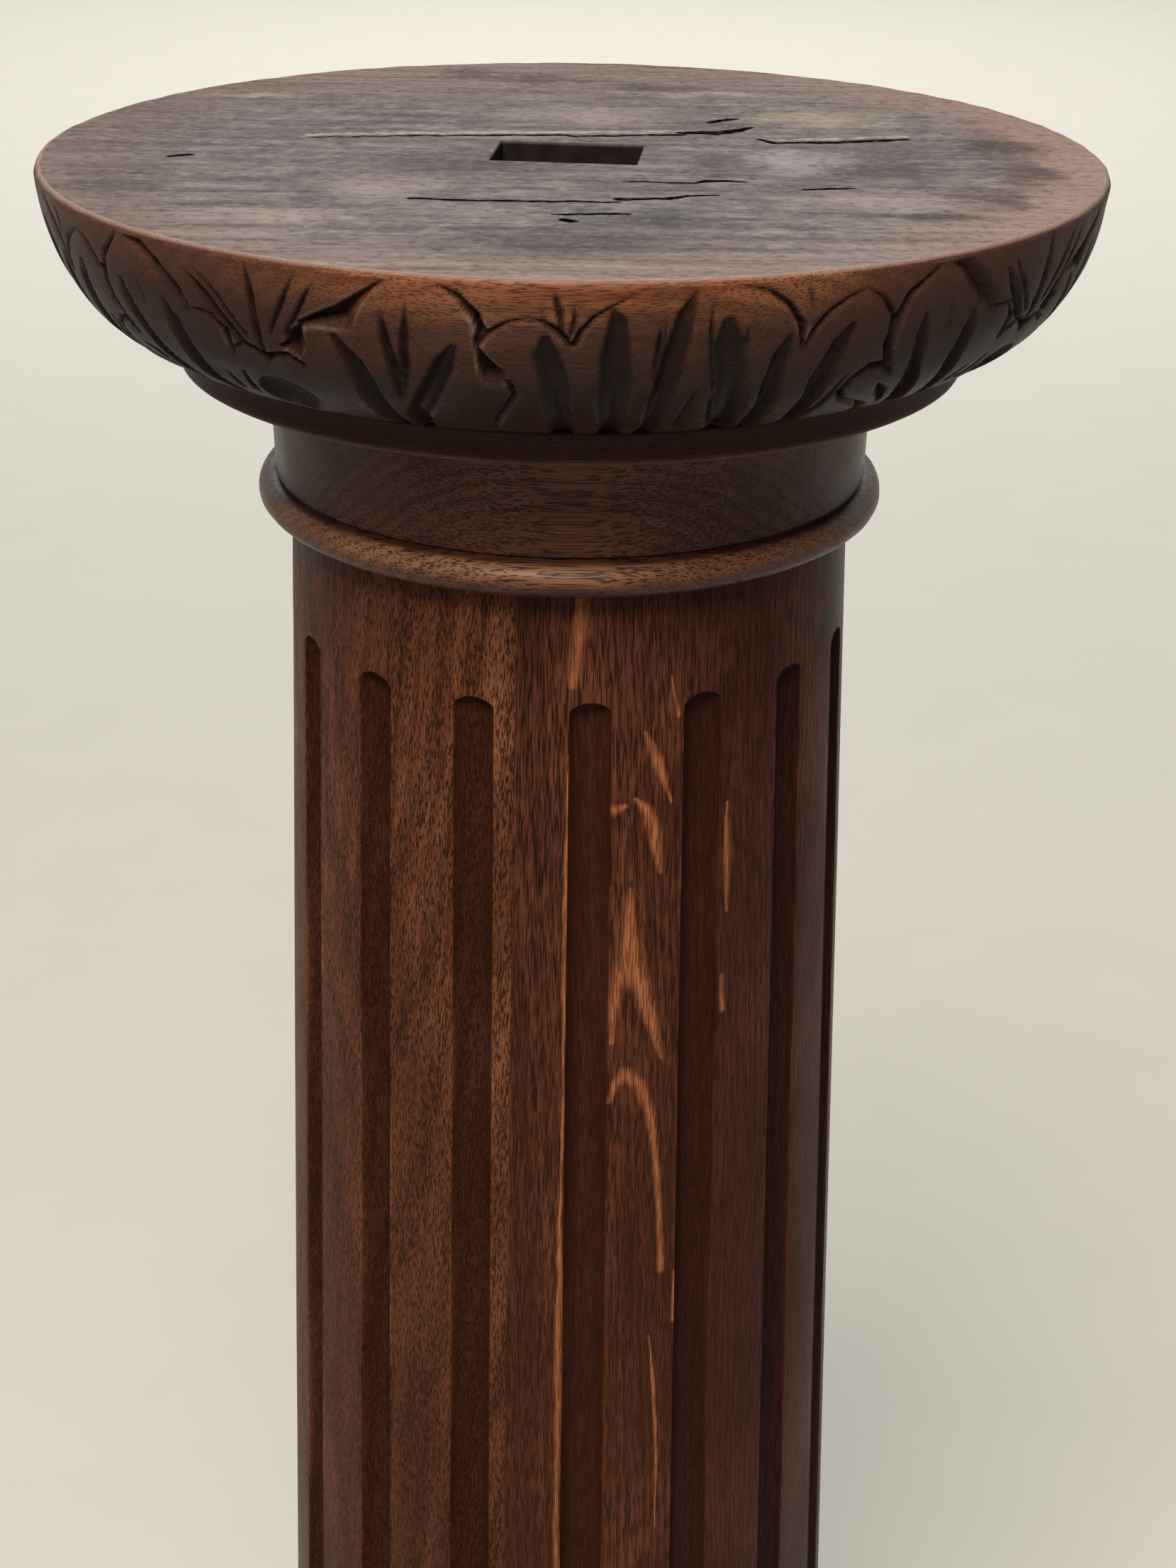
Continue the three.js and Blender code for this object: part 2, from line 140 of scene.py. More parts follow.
SPEARS = [
    # Fans above the joints
    [(54.2, 0.2, 0.4, 0.4), (54.2, 8, 1.1, 1.6), (54.3, 18, 1, 1.6), (54.3, 26, 0.6, 1.2)],
    [(46.4, 5, 0.3, 0.4), (48.6, 11.5, 1.3, 1.8), (50.8, 18.5, 1.3, 1.8), (52.4, 23.5, 0.7, 1.2)],
    [(47.8, 4.2, 0.3, 0.4), (50, 10.5, 0.6, 1), (52.9, 20, 0.5, 0.9)],
    [(-26, 2, 0.3, 0.4), (-27.6, 8.5, 0.8, 1.3), (-29.5, 18.5, 0.5, 0.9)],
    [(-23.9, 2.8, 0.3, 0.4), (-25.4, 8.5, 0.7, 1.2), (-27.7, 18, 0.5, 1)],
    [(-1.3, 0.2, 0.3, 0.3), (-1.25, 5, 0.95, 1.3), (-1.05, 11, 0.5, 0.8)],
    [(-2.7, 4.2, 0.25, 0.3), (-2.6, 8.4, 0.45, 0.6)],
    [(0.35, 4.2, 0.3, 0.4), (0, 8.5, 0.6, 0.9), (-0.3, 12.8, 0.4, 0.8)],
    [(21.6, 0.4, 0.3, 0.2), (22.3, 3.5, 0.8, 0.6), (22.8, 7.5, 0.5, 0.4)],
    # Pointed veins
    [(-17.5, 8, 0.3, 0.3), (-17.4, 15, 1.2, 1.3), (-17.1, 25, 1.6, 1.6), (-17.1, 34, 0.6, 0.8)],
    [(-15.2, 5.2, 0.3, 0.3), (-15.5, 14, 1.2, 1.3), (-15.9, 24, 1.2, 1.4), (-16.7, 33, 0.5, 0.7)],
    [(8.2, 9.2, 0.3, 0.3), (8.1, 14, 0.9, 1.1), (7.9, 24, 0.8, 1)],
    [(8.6, 6.8, 0.3, 0.3), (8.6, 13, 0.5, 0.7), (8.7, 22, 0.4, 0.5)],
    [(12.8, 3, 0.3, 0.3), (13, 12, 0.6, 0.9), (13.5, 24, 0.6, 0.9),
     (14.6, 42, 0.7, 1), (16, 55, 0.7, 1)],
    [(15.3, 9, 0.3, 0.4), (15.4, 13, 0.8, 1)],
    [(16.5, 11, 0.3, 0.4), (16.5, 15, 0.8, 1)],
    [(12, 29, 0.4, 0.5), (11.7, 40, 1.4, 1.4), (11.5, 50, 1.4, 1.4)],
    [(28.2, 28, 0.4, 0.5), (27.6, 36, 0.9, 1.3), (26.6, 46, 0.9, 1.3)],
    [(33, 33.8, 0.4, 0.5), (34.3, 38, 1.4, 2.2), (36.4, 45.5, 0.5, 1)],
    [(38.4, 9, 0.5, 0.2), (39.2, 17, 0.7, 0.4)],
    [(47, 36, 0.5, 0.8), (46.9, 42, 1, 1.8)],
    [(49.8, 33.5, 0.5, 0.8), (48.9, 42, 1, 1.8)],
]
HOLLOWS = [
    [(-22.6, 16.5, 1, 0.8), (-21.2, 24, 2.4, 1.8), (-20.3, 34, 2.6, 2.4),
     (-19.6, 45, 2.4, 2.4), (-19.5, 62, 2, 2)],
    [(-10.8, 16.5, 1, 0.8), (-11.9, 22, 2.4, 1.8), (-13.8, 31, 2.6, 2.2),
     (-16, 42, 2.2, 2), (-17, 62, 1.8, 2)],
    [(-2.4, 13.2, 1.2, 0.8), (-2.1, 18, 3, 1.6), (-1.4, 28, 3.2, 2),
     (-1.2, 40, 3, 2.2), (-1.2, 62, 2.2, 2)],
    [(3.6, 4.8, 0.6, 0.5), (4.2, 9, 2.4, 1.5), (4.2, 18, 3.4, 2.2),
     (4.2, 28, 3.6, 2.4), (4.5, 62, 2.2, 2)],
    [(11, 1, 0.4, 0.4), (10.5, 7, 2.2, 1.4), (9.8, 17, 2.8, 2),
     (9, 28, 2.8, 2.2), (8.4, 62, 2, 2)],
    [(14.6, 9.5, 1.8, 0.9), (15, 17, 4.2, 2), (15.6, 27, 3.8, 2.2),
     (16.5, 40, 3, 2.2), (17.5, 62, 2.2, 2)],
    [(20.9, 14, 0.8, 0.6), (20.4, 19, 2.2, 1.6), (20, 28, 2.4, 2),
     (19.9, 40, 2.2, 2), (20.5, 62, 2, 2)],
    [(27, 13, 1, 0.8), (26.2, 18, 2.4, 1.5), (25.4, 28, 2.8, 2),
     (25, 40, 2.6, 2.2), (26, 62, 2, 2)],
    [(35.5, 12.8, 0.6, 0.6), (35.8, 18, 1.6, 1.5), (36.6, 28, 1.8, 2),
     (37.8, 38, 2.6, 2.6), (42, 62, 2, 2)],
    [(42.3, 15, 0.6, 0.5), (42.8, 21, 2.2, 1.5), (42.9, 30, 2.6, 2.2),
     (43.4, 40, 2.4, 2.6), (47, 62, 1.5, 2)],
]

# Mortise
MORTISE_LENGTH = 41.0
MORTISE_WIDTH = 28.5
MORTISE_DEPTH = 45.0
MORTISE_CENTRE = (-1.6, -1.8)
MORTISE_TURN = -5.5
MORTISE_EDGE = 0.8
# Rows of its walls: distance down and how far the wall stands out
MORTISE_STEPS = ((0.35, 0.25), (1.2, 0.0), (12.0, 0.0), (28.0, 0.0), (MORTISE_DEPTH, 0.0))

# Necking
NECK_RADIUS = 87.6
NECK_TOP_RADIUS = 89.2
BEAD_RADIUS = 5.0
QUIRK_DEPTH = 0.8
TURNED_COLUMNS = 256
TURNED_WAVES = 64
TURNED_WAVE_HEIGHT = 9.0

# Shaft
SHAFT_TOP_RADIUS = 83.0
SHAFT_SLOPE = 0.0327
STRAIGHT_TAPER = 390.0
FLUTE_COUNT = 16
FIRST_FLUTE = 4.4
FLUTE_HALF_ANGLE = 4.1
FLUTE_DEPTH = 4.3
FLUTE_TOP_MARGIN = 32.8
FLUTE_FOOT_MARGIN = 28.0
FLUTE_END_SHARE = 0.62
FLUTE_COLUMNS = 17
LAND_COLUMNS = 13
FLUTE_END_ROWS = 12
SHAFT_ROWS = 64
EDGE_WEAR_REACH = 0.5
EDGE_WEAR_DEPTH = 0.25
BOARD_LEAN = 0.06
LEFT_JOINT = -14.2
RIGHT_JOINT = -0.9
JOINT_LEAN = 0.011

# Base ring and base disc
RING_FOOT_RADIUS = 124.0
RING_WAIST_RADIUS = 107.0
RING_BEAD_RADIUS = 6.0
RING_BAND = 5.0
DISC_RADIUS = 160.0
DISC_EDGE = 2.5
DISC_BAND_TOP = 26.0
DISC_STEP = 5.0
SHOULDER_RADIUS = 22.0
FILLET_RADIUS = 131.0
FILLET_EDGE = 0.6

# Grain of the oak: widths and lengths of its features in millimetres, and shares
BEND_WIDTH = 60.0
BEND_LENGTH = 260.0
BEND_REACH = 26.0
STREAK_WIDTH = 2.6
STREAK_LENGTH = 90.0
BLOTCH_WIDTH = 38.0
BLOTCH_LENGTH = 90.0
EARLY_PORES = 0.05
PORE_EDGE = 0.06
EARLY_SHARE = 0.25
PORE_SHARE = 0.9

# Splits in the top and their pale lips: runs of points x, y and half width, in millimetres
TOP_SPLITS = [
    [(-77, 16, 0.7), (-50, 19, 1.1), (-3, 23, 1.6), (0, 21, 1.5), (32, 26, 1.7)],
    [(32, 29, 2.5), (42, 29, 3.4), (48, 32, 3.1), (53, 38, 1.0)],
    [(41, 44, 1.7), (45, 49, 2.5), (49, 52, 1.6)],
    [(54, 21, 1.0), (58, 15, 2.2), (76, 17, 2.2), (97, 22, 1.7)],
    [(14, -41, 1.0), (33, -42, 1.4), (36, -39, 2.0), (46, -39, 1.4)],
    [(62, -48, 1.4), (68, -47, 1.9), (75, -46, 1.0)],
    [(-42, -65, 1.7), (-34, -66, 1.5), (-10, -67, 1.6), (12, -66, 1.0)],
    [(12, -63, 2.0), (25, -61, 2.2), (30, -57, 1.7), (38, -56, 1.1)],
    [(-5, -81, 0.9), (6, -80, 1.7), (14, -79, 1.4)],
    [(-2, -87, 2.2), (0, -88, 2.2)],
    [(-112, -15, 1.7), (-107, -12, 1.7)],
]
TOP_LIPS = [
    [(-77, 20, 2.0), (-50, 23, 2.4), (-3, 27, 1.8), (32, 31, 1.4)],
    [(58, 20, 1.8), (76, 22, 2.4), (97, 27, 1.6)],
]

# Stains of the top: a colour, a strength and ovals given by x, y, half length and half width
TOP_STAINS = [
    ("8f8474", 0.7, [(74, 52, 28, 22)]),
    ("8b8789", 0.6, [(60, -12, 24, 28)]),
    ("8a7d79", 0.7, [(5, 54, 44, 20), (-52, -54, 28, 18), (-74, -85, 34, 15), (80, -61, 36, 16)]),
    ("948782", 0.6, [(42, 91, 30, 6), (-98, 80, 22, 6)]),
    ("3b3736", 0.72, [(122, 14, 18, 30), (124, -24, 15, 24), (112, -58, 16, 20), (94, -78, 18, 11)]),
    ("413f41", 0.65, [(-10, -98, 30, 8), (-2, -114, 46, 22), (20, -86, 16, 15)]),
    ("474242", 0.6, [(88, -18, 20, 26), (-4, 116, 36, 9), (-34, 127, 14, 12), (26, 103, 20, 12)]),
    ("4b4646", 0.6, [(-121, -50, 22, 24), (-30, -22, 40, 18), (40, -20, 14, 30)]),
]

# Pale sapwood on the right-hand board of the shaft: runs of points x, height and half width, in millimetres
SAPWOOD = [
    [(4.0, 897, 2.8), (3.0, 886, 3.0), (1.4, 871, 2.0)],
    [(0.6, 850, 0.7), (0.0, 800, 1.2), (-0.1, 780, 1.0),
     (0.0, 740, 0.7), (-0.5, 700, 0.8), (-0.8, 656, 1.8)],
    [(-0.8, 656, 1.8), (-0.8, 600, 1.2), (-0.8, 540, 1.8), (-0.8, 430, 1.2)],
    [(22.0, 856, 0.9), (25.5, 847, 2.4), (29.8, 834, 0.7)],
    [(19.6, 836, 0.9), (23.0, 832, 2.6), (25.5, 824, 3.2), (27.2, 812, 0.9)],
    [(13.6, 833, 2.6), (16.8, 834, 1.2)],
    [(18.5, 808, 0.8), (18.6, 795, 3.4), (19.2, 784, 6.0),
     (22.6, 775, 4.4), (26.0, 763, 2.8), (28.8, 751, 0.9)],
    [(17.6, 784, 4.4), (15.0, 776, 2.6), (13.9, 758, 1.2)],
    [(13.6, 738, 1.4), (15.5, 744, 2.2), (18.5, 747, 3.6), (22.5, 743, 3.0), (26.0, 733, 2.2)],
    [(26.0, 733, 2.2), (28.2, 715, 1.6), (29.8, 695, 1.4), (30.8, 676, 2.0)],
    [(46.0, 830, 0.8), (46.6, 815, 1.8), (47.2, 795, 0.8)],
    [(46.6, 774, 0.8), (47.3, 762, 1.2)],
    [(34.8, 674, 0.8), (35.2, 656, 1.5)],
    [(6.0, 757, 1.6), (6.2, 730, 1.8), (5.4, 690, 0.8)],
    [(28.8, 872, 0.5), (31.2, 860, 0.9)],
    [(27.4, 652, 0.4), (29.4, 632, 1.0), (31.0, 606, 0.8), (31.2, 576, 0.4)],
]

# Half the side of the floor, in metres
FLOOR_HALF_SIDE = 30.0

# Camera fitted to the outlines in a picture of 1659 by 2212: pixels, millimetres and radians
PICTURE_HEIGHT = 2212.0
FOCAL_PIXELS = 3500.0
CAMERA_DISTANCE = 712.41
CAMERA_ABOVE_TOP = 140.10
CAMERA_PITCH = 0.4441
CAMERA_ROLL = 0.0149
CAMERA_YAW = 0.0096
SENSOR = 36.0


def smooth(value, low, high):
    """0 below low, 1 above high and a soft step between them."""
    share = np.clip((value - low) / (high - low), 0.0, 1.0)
    return share * share * (3.0 - 2.0 * share)


def ripple(x, y, seed):
    """Smooth noise between -1 and 1 with features about one unit across."""
    side = 64
    table = np.random.default_rng(seed).uniform(-1.0, 1.0, (side, side))
    column = np.floor(x).astype(int)
    row = np.floor(y).astype(int)
    across = smooth(x - column, 0.0, 1.0)
    up = smooth(y - row, 0.0, 1.0)
    low = table[column % side, row % side] * (1 - across) + table[(column + 1) % side, row % side] * across
    high = (
        table[column % side, (row + 1) % side] * (1 - across)
        + table[(column + 1) % side, (row + 1) % side] * across
    )
    return low * (1 - up) + high * up


def around(angle, radius, height):
    """Points at an angle around the column, as an array whose last axis is x, y, z."""
    turn = np.radians(angle)
    parts = np.broadcast_arrays(radius * np.sin(turn), -radius * np.cos(turn), height)
    return np.stack(parts, axis=-1)


def closed_grid(name, points, attributes):
    """A closed mesh from rows of points that run round the column, with a centre point at each end."""
    rows, columns, _ = points.shape
    ends = np.stack([points[0].mean(axis=0), points[-1].mean(axis=0)])
    vertices = np.concatenate([points.reshape(-1, 3), ends]) * MM
    index = np.arange(rows * columns).reshape(rows, columns)
    ahead = np.roll(index, -1, axis=1)
    quads = np.stack([index[:-1], ahead[:-1], ahead[1:], index[1:]], axis=-1).reshape(-1, 4)
    first = rows * columns
    faces = quads.tolist()
    faces += [[first, b, a] for a, b in zip(index[0].tolist(), ahead[0].tolist())]
    faces += [[first + 1, a, b] for a, b in zip(index[-1].tolist(), ahead[-1].tolist())]
    mesh = bpy.data.meshes.new(name)
    mesh.from_pydata(vertices.tolist(), [], faces)
    for key, values in attributes.items():
        whole = np.concatenate([np.broadcast_to(values, (rows, columns)).reshape(-1), np.zeros(2)])
        layer = mesh.attributes.new(key, "FLOAT", "POINT")
        layer.data.foreach_set("value", whole.astype(np.float32))
    mesh.polygons.foreach_set("use_smooth", [True] * len(mesh.polygons))
    mesh.set_sharp_from_angle(angle=math.radians(SHARP_ANGLE))
    mesh.update()
    thing = bpy.data.objects.new(name, mesh)
    bpy.context.scene.collection.objects.link(thing)
    return thing


def arc(radius, centre_radius, centre_height, start, end, steps):
    """Points (radius, height) on an arc of a turned profile, between two angles up from outwards."""
    turn = np.radians(np.linspace(start, end, steps + 1))
    return np.stack([centre_radius + radius * np.cos(turn), centre_height + radius * np.sin(turn)], axis=-1)


def line(start, end, steps):
    """Points (radius, height) on a straight stretch of a turned profile."""
    return np.linspace(np.array(start), np.array(end), steps + 1)


def turned(name, profile, wobble, seed):
    """A turned piece: the profile run round the column, a little uneven as old turned wood is."""
    angle = np.arange(TURNED_COLUMNS) * 360.0 / TURNED_COLUMNS
    radius = profile[:, :1]
    height = profile[:, 1:]
    near = ripple(angle[None, :] * TURNED_WAVES / 360.0, height / TURNED_WAVE_HEIGHT, seed) * wobble
    return closed_grid(name, around(angle[None, :], radius + near, height), {})


# Carving of the capital
def leaf_angle(angle):
    """Angle on the front leaf that answers to an angle round the capital."""
    back = 360.0 - (LEAF_COUNT - 1) * LEAF_PITCH
    before = LEAVES_BEFORE_BACK * LEAF_PITCH
    marks = [0.0, before, before + back, 360.0]
    leaves = [0, LEAVES_BEFORE_BACK, LEAVES_BEFORE_BACK + 1, LEAF_COUNT]
    return LEAF_START + LEAF_PITCH * np.interp((angle - LEAF_START) % 360.0, marks, leaves)


def beside(angle, start):
    """Degrees from one angle of the leaf to another, the shorter way round a repeat of the leaf."""
    return (angle - start + LEAF_PITCH / 2) % LEAF_PITCH - LEAF_PITCH / 2


def cut(run, angle, down, mm_per_degree, rounded):
    """Depth and darkness of one tapering cut along a run of points: rounded like a gouge's, or like a V. The
    darkness is dirt with painted shade, and the flank of a V that faces down and to the right is painted
    paler as lit.
    """
    depth = np.zeros(np.broadcast_shapes(angle.shape, down.shape))
    stain_and_shade = np.zeros_like(depth)
    for start, end in zip(run[:-1], run[1:]):
        x = beside(angle, start[0]) * mm_per_degree
        y = down - start[1]
        lean = (end[0] - start[0]) * mm_per_degree
        rise = end[1] - start[1]
        share = np.clip((x * lean + y * rise) / (lean**2 + rise**2), 0.0, 1.0)
        gap = np.hypot(x - lean * share, y - rise * share)
        half_width = np.maximum((start[2] + (end[2] - start[2]) * share) * CUT_WIDENING, LEAST_HALF_WIDTH)
        full = (start[3] + (end[3] - start[3]) * share) * CUT_DEEPENING
        to_right = (x - lean * share) / np.maximum(gap, 1e-6)
        to_foot = (y - rise * share) / np.maximum(gap, 1e-6)
        lit = 0.0 if rounded else np.clip(0.9 * to_foot + 0.5 * to_right, 0.0, 1.0)
        half_width = half_width * (1.0 + FACET_WIDENING * lit)
        inside = np.clip(1.0 - gap / half_width, 0.0, 1.0)
        form = inside * (2.0 - inside) if rounded else inside
        shoulder = 0.0 if rounded else SHOULDER_SHARE * np.exp(-gap / SHOULDER_REACH)
        depth = np.maximum(depth, full * np.maximum(form, shoulder))
        # Painted highlight: the lit flank of a V cut loses some of its darkness
        painted_light = FACET_PAINTED_LIGHT * lit * smooth(inside, 0.85, 0.5)
        stain_and_shade = np.maximum(stain_and_shade, smooth(inside, 0.0, 0.4) * smooth(full, 0.0, 1.2) * (1.0 - painted_light))
    return depth, stain_and_shade


def carving(angle, down, radius):
    """Depth of the carving under the plain ovolo, depth of its crescents alone and darkness of the cuts,
    which is dirt with painted shade.
    """
    mm_per_degree = radius * math.radians(1.0)
    stray = 0.25 * ripple(angle / 7.0, down / 9.0, 31)
    local = leaf_angle(angle) + stray
    level = down + 0.4 * ripple(angle / 6.0, down / 8.0, 32)
    depth = np.zeros_like(stray)
    stain_and_shade = np.zeros_like(stray)
    sharp = np.zeros_like(stray)
    kinds = (
        (CRESCENTS, False, 1.0),
        (SPEARS, False, 1.0),
        (FACETS, False, FACET_STAIN_AND_SHADE),
        (HOLLOWS, True, HOLLOW_STAIN_AND_SHADE),
    )
    for runs, rounded, share in kinds:
        for run in runs:
            deep, dark = cut(run, local, level, mm_per_degree, rounded)
            depth = np.maximum(depth, deep)
            stain_and_shade = np.maximum(stain_and_shade, dark * share)
            if runs is CRESCENTS:
                sharp = np.maximum(sharp, deep)
    across = beside(local, EYE["angle"]) * mm_per_degree / EYE["half_width"]
    along = (level - EYE["down"]) / EYE["half_length"]
    inside = np.clip(1.0 - np.hypot(across, along), 0.0, 1.0)
    depth = np.maximum(depth, EYE["depth"] * inside**0.5)
    stain_and_shade = np.maximum(stain_and_shade, smooth(inside, 0.0, 0.3))
    within = smooth(down, 0.0, 1.0)
    return depth * within, sharp * within, stain_and_shade * within


def ridges(depth):
    """Where the carving stands prouder than what is round it, from 0 to 1."""
    around_it = depth
    for _ in range(RIDGE_BLUR):
        around_it = (np.roll(around_it, 1, axis=1) + around_it + np.roll(around_it, -1, axis=1)) / 3.0
        padded = np.pad(around_it, ((1, 1), (0, 0)), mode="edge")
        around_it = (padded[:-2] + padded[1:-1] + padded[2:]) / 3.0
    return smooth(around_it - depth, 0.12, 0.6)


def ovolo_curve():
    """Radius, height, outward direction and distance down of the rows of the ovolo, from the rim."""
    turn = np.linspace(0.0, math.pi / 2, 2000)
    reach = np.cos(turn).clip(0.0) ** OVOLO_SIDE_POWER
    fall = np.sin(turn) ** OVOLO_DOWN_POWER
    radius = OVOLO_INNER_RADIUS + (TOP_RADIUS - OVOLO_INNER_RADIUS) * reach
    height = TOTAL_HEIGHT - RIM_ROUNDING - (OVOLO_DEPTH - RIM_ROUNDING) * fall
    kept = radius >= OVOLO_FOOT_RADIUS
    radius = radius[kept]
    height = height[kept]
    travelled = np.concatenate([[0.0], np.cumsum(np.hypot(np.diff(radius), np.diff(height)))])
    down = np.concatenate(
        [
            np.linspace(0.0, SEEN_LENGTH, SEEN_ROWS, endpoint=False),
            np.linspace(SEEN_LENGTH, travelled[-1], FOOT_ROWS),
        ]
    )
    radius = np.interp(down, travelled, radius)
    height = np.interp(down, travelled, height)
    tangent = np.stack([np.gradient(radius, down), np.gradient(height, down)], axis=-1)
    tangent /= np.linalg.norm(tangent, axis=-1, keepdims=True)
    return radius, height, -tangent[:, 1], tangent[:, 0], down


def mortise_outline(angle, inset):
    """Points (x, y) where rays from the middle of the mortise meet its outline, drawn in or out by inset."""
    turn = np.radians(angle) - math.radians(MORTISE_TURN)
    ray_x = np.sin(turn)
    ray_y = -np.cos(turn)
    reach = np.minimum(
        (MORTISE_LENGTH / 2 + inset) / np.maximum(np.abs(ray_x), 1e-9),
        (MORTISE_WIDTH / 2 + inset) / np.maximum(np.abs(ray_y), 1e-9),
    )
    turned_x = math.cos(math.radians(MORTISE_TURN))
    turned_y = math.sin(math.radians(MORTISE_TURN))
    x = reach * ray_x
    y = reach * ray_y
    return (
        MORTISE_CENTRE[0] + x * turned_x - y * turned_y,
        MORTISE_CENTRE[1] + x * turned_y + y * turned_x,
    )


def capital_piece():
    """The carved plank: underside, lip, carved ovolo, rim, top and mortise as one closed skin."""
    angle = np.concatenate(
        [
            np.linspace(-FRONT_SPAN, FRONT_SPAN, FRONT_COLUMNS, endpoint=False),
            np.linspace(FRONT_SPAN, 360.0 - FRONT_SPAN, BACK_COLUMNS, endpoint=False),
        ]
    )
    radius, height, out_radius, out_height, down = ovolo_curve()
    depth, sharp, stain_and_shade = carving(angle[None, :], down[:, None], radius[:, None])
    depth = depth + TOOL_MARKS * ripple(angle[None, :] / 2.5, down[:, None] / 5.0, 11)
    worn = ridges(sharp) * (1.0 - stain_and_shade)
    carved_radius = radius[:, None] - out_radius[:, None] * depth
    carved_height = height[:, None] - out_height[:, None] * depth
    lip_top = height[-1]
    side_foot = (LIP_RADIUS - LIP_FOOT_INSET, CAPITAL_BOTTOM + LIP_SIDE_FOOT)
    side_head = (LIP_RADIUS - LIP_HEAD_INSET, lip_top - LIP_SIDE_HEAD)
    lip = np.concatenate(
        [
            line((CORE_RADIUS, CAPITAL_BOTTOM), (LIP_RADIUS - LIP_ROUNDING - 0.5, CAPITAL_BOTTOM), 1),
            arc(LIP_ROUNDING, LIP_RADIUS - LIP_ROUNDING, CAPITAL_BOTTOM + LIP_ROUNDING, -80, 0, 2),
            line(side_foot, side_head, 1),
            arc(LIP_TOP_ROUNDING, LIP_RADIUS - LIP_TOP_ROUNDING, lip_top - LIP_TOP_ROUNDING, 10, 90, 2),
        ]
    )
    rim = arc(RIM_ROUNDING, TOP_RADIUS - RIM_ROUNDING, TOTAL_HEIGHT - RIM_ROUNDING, 20, 90, 4)
    rim_wear = RIM_UNEVEN * ripple(angle * 0.35, angle * 0.0, 5) - RIM_WORN
    rows = []
    recess = []
    wear = []

    def add(points, dirt_and_shade, wear_and_highlight=0.0):
        rows.append(points)
        recess.append(np.broadcast_to(dirt_and_shade, angle.shape))
        wear.append(np.broadcast_to(wear_and_highlight, angle.shape))

    for step in lip:
        add(around(angle, step[0], step[1]), LIP_SHADE)
    for row in range(len(down) - 1, -1, -1):
        add(around(angle, carved_radius[row], carved_height[row]), stain_and_shade[row], worn[row])
    for step in rim:
        add(around(angle, step[0] + rim_wear, step[1] + rim_wear * 0.5), 0.0)
    mouth_x, mouth_y = mortise_outline(angle, MORTISE_EDGE)
    outer = around(angle, TOP_RADIUS - RIM_ROUNDING, TOTAL_HEIGHT)
    for ring in range(1, TOP_RINGS + 1):
        share = ring / TOP_RINGS
        x = outer[:, 0] * (1 - share) + mouth_x * share
        y = outer[:, 1] * (1 - share) + mouth_y * share
        from_edge = min(ring, TOP_RINGS - ring) / TOP_RINGS * 2
        uneven = TOP_UNEVEN * ripple(x / 45.0, y / 22.0, 3) * from_edge - TOP_SUNK
        add(np.stack([x, y, TOTAL_HEIGHT + uneven], axis=-1), 0.0)
    # The mortise walls get recess values that paint them dark as shade
    for sunk, inset in MORTISE_STEPS:
        x, y = mortise_outline(angle, inset)
        add(np.stack([x, y, np.full_like(x, TOTAL_HEIGHT - sunk)], axis=-1), min(sunk, 1.0))
    attributes = {"recess": np.stack(recess), "wear": np.stack(wear)}
    return closed_grid("carved_capital", np.stack(rows), attributes)


# Turned pieces
def necking_piece():
    """The plain neck, a fine quirk and the half-round bead."""
    bead_height = NECKING_BOTTOM + BEAD_RADIUS
    bead_top = NECKING_BOTTOM + 2 * BEAD_RADIUS
    rise = np.linspace(0.0, 1.0, 15)
    neck_radius = NECK_RADIUS + (NECK_TOP_RADIUS - NECK_RADIUS) * rise**2.2
    neck_height = bead_top + 1.2 + (CAPITAL_BOTTOM - bead_top - 1.2) * rise
    profile = np.concatenate(
        [
            line((CORE_RADIUS, NECKING_BOTTOM), (NECK_RADIUS - 1.0, NECKING_BOTTOM), 2),
            arc(BEAD_RADIUS, NECK_RADIUS, bead_height, -90, 84, 18),
            [[NECK_RADIUS - QUIRK_DEPTH, bead_top + 0.1], [NECK_RADIUS - QUIRK_DEPTH, bead_top + 0.6]],
            np.stack([neck_radius, neck_height], axis=-1),
            line((70.0, CAPITAL_BOTTOM), (CORE_RADIUS, CAPITAL_BOTTOM), 1),
        ]
    )
    return turned("turned_necking", profile, wobble=0.12, seed=21)


def base_ring_piece():
    """A band, a hollow and a bead under the shaft."""
    bead_height = SHAFT_BOTTOM - RING_BEAD_RADIUS
    hollow_top = bead_height - RING_BEAD_RADIUS
    hollow_foot = BASE_DISC_HEIGHT + RING_BAND
    turn = np.linspace(0.0, math.pi / 2, 17)
    hollow = np.stack(
        [
            RING_WAIST_RADIUS + (RING_FOOT_RADIUS - RING_WAIST_RADIUS) * (1 - np.sin(turn)),
            hollow_foot + (hollow_top - hollow_foot) * (1 - np.cos(turn)),
        ],
        axis=-1,
    )
    profile = np.concatenate(
        [
            line((CORE_RADIUS, BASE_DISC_HEIGHT), (RING_FOOT_RADIUS - 0.8, BASE_DISC_HEIGHT), 2),
            line((RING_FOOT_RADIUS, BASE_DISC_HEIGHT + 0.8), (RING_FOOT_RADIUS, hollow_foot - 0.8), 2),
            hollow,
            arc(RING_BEAD_RADIUS, RING_WAIST_RADIUS, bead_height, -84, 90, 18),
            line((80.0, SHAFT_BOTTOM), (CORE_RADIUS, SHAFT_BOTTOM), 1),
        ]
    )
    return turned("turned_base_ring", profile, wobble=0.12, seed=22)


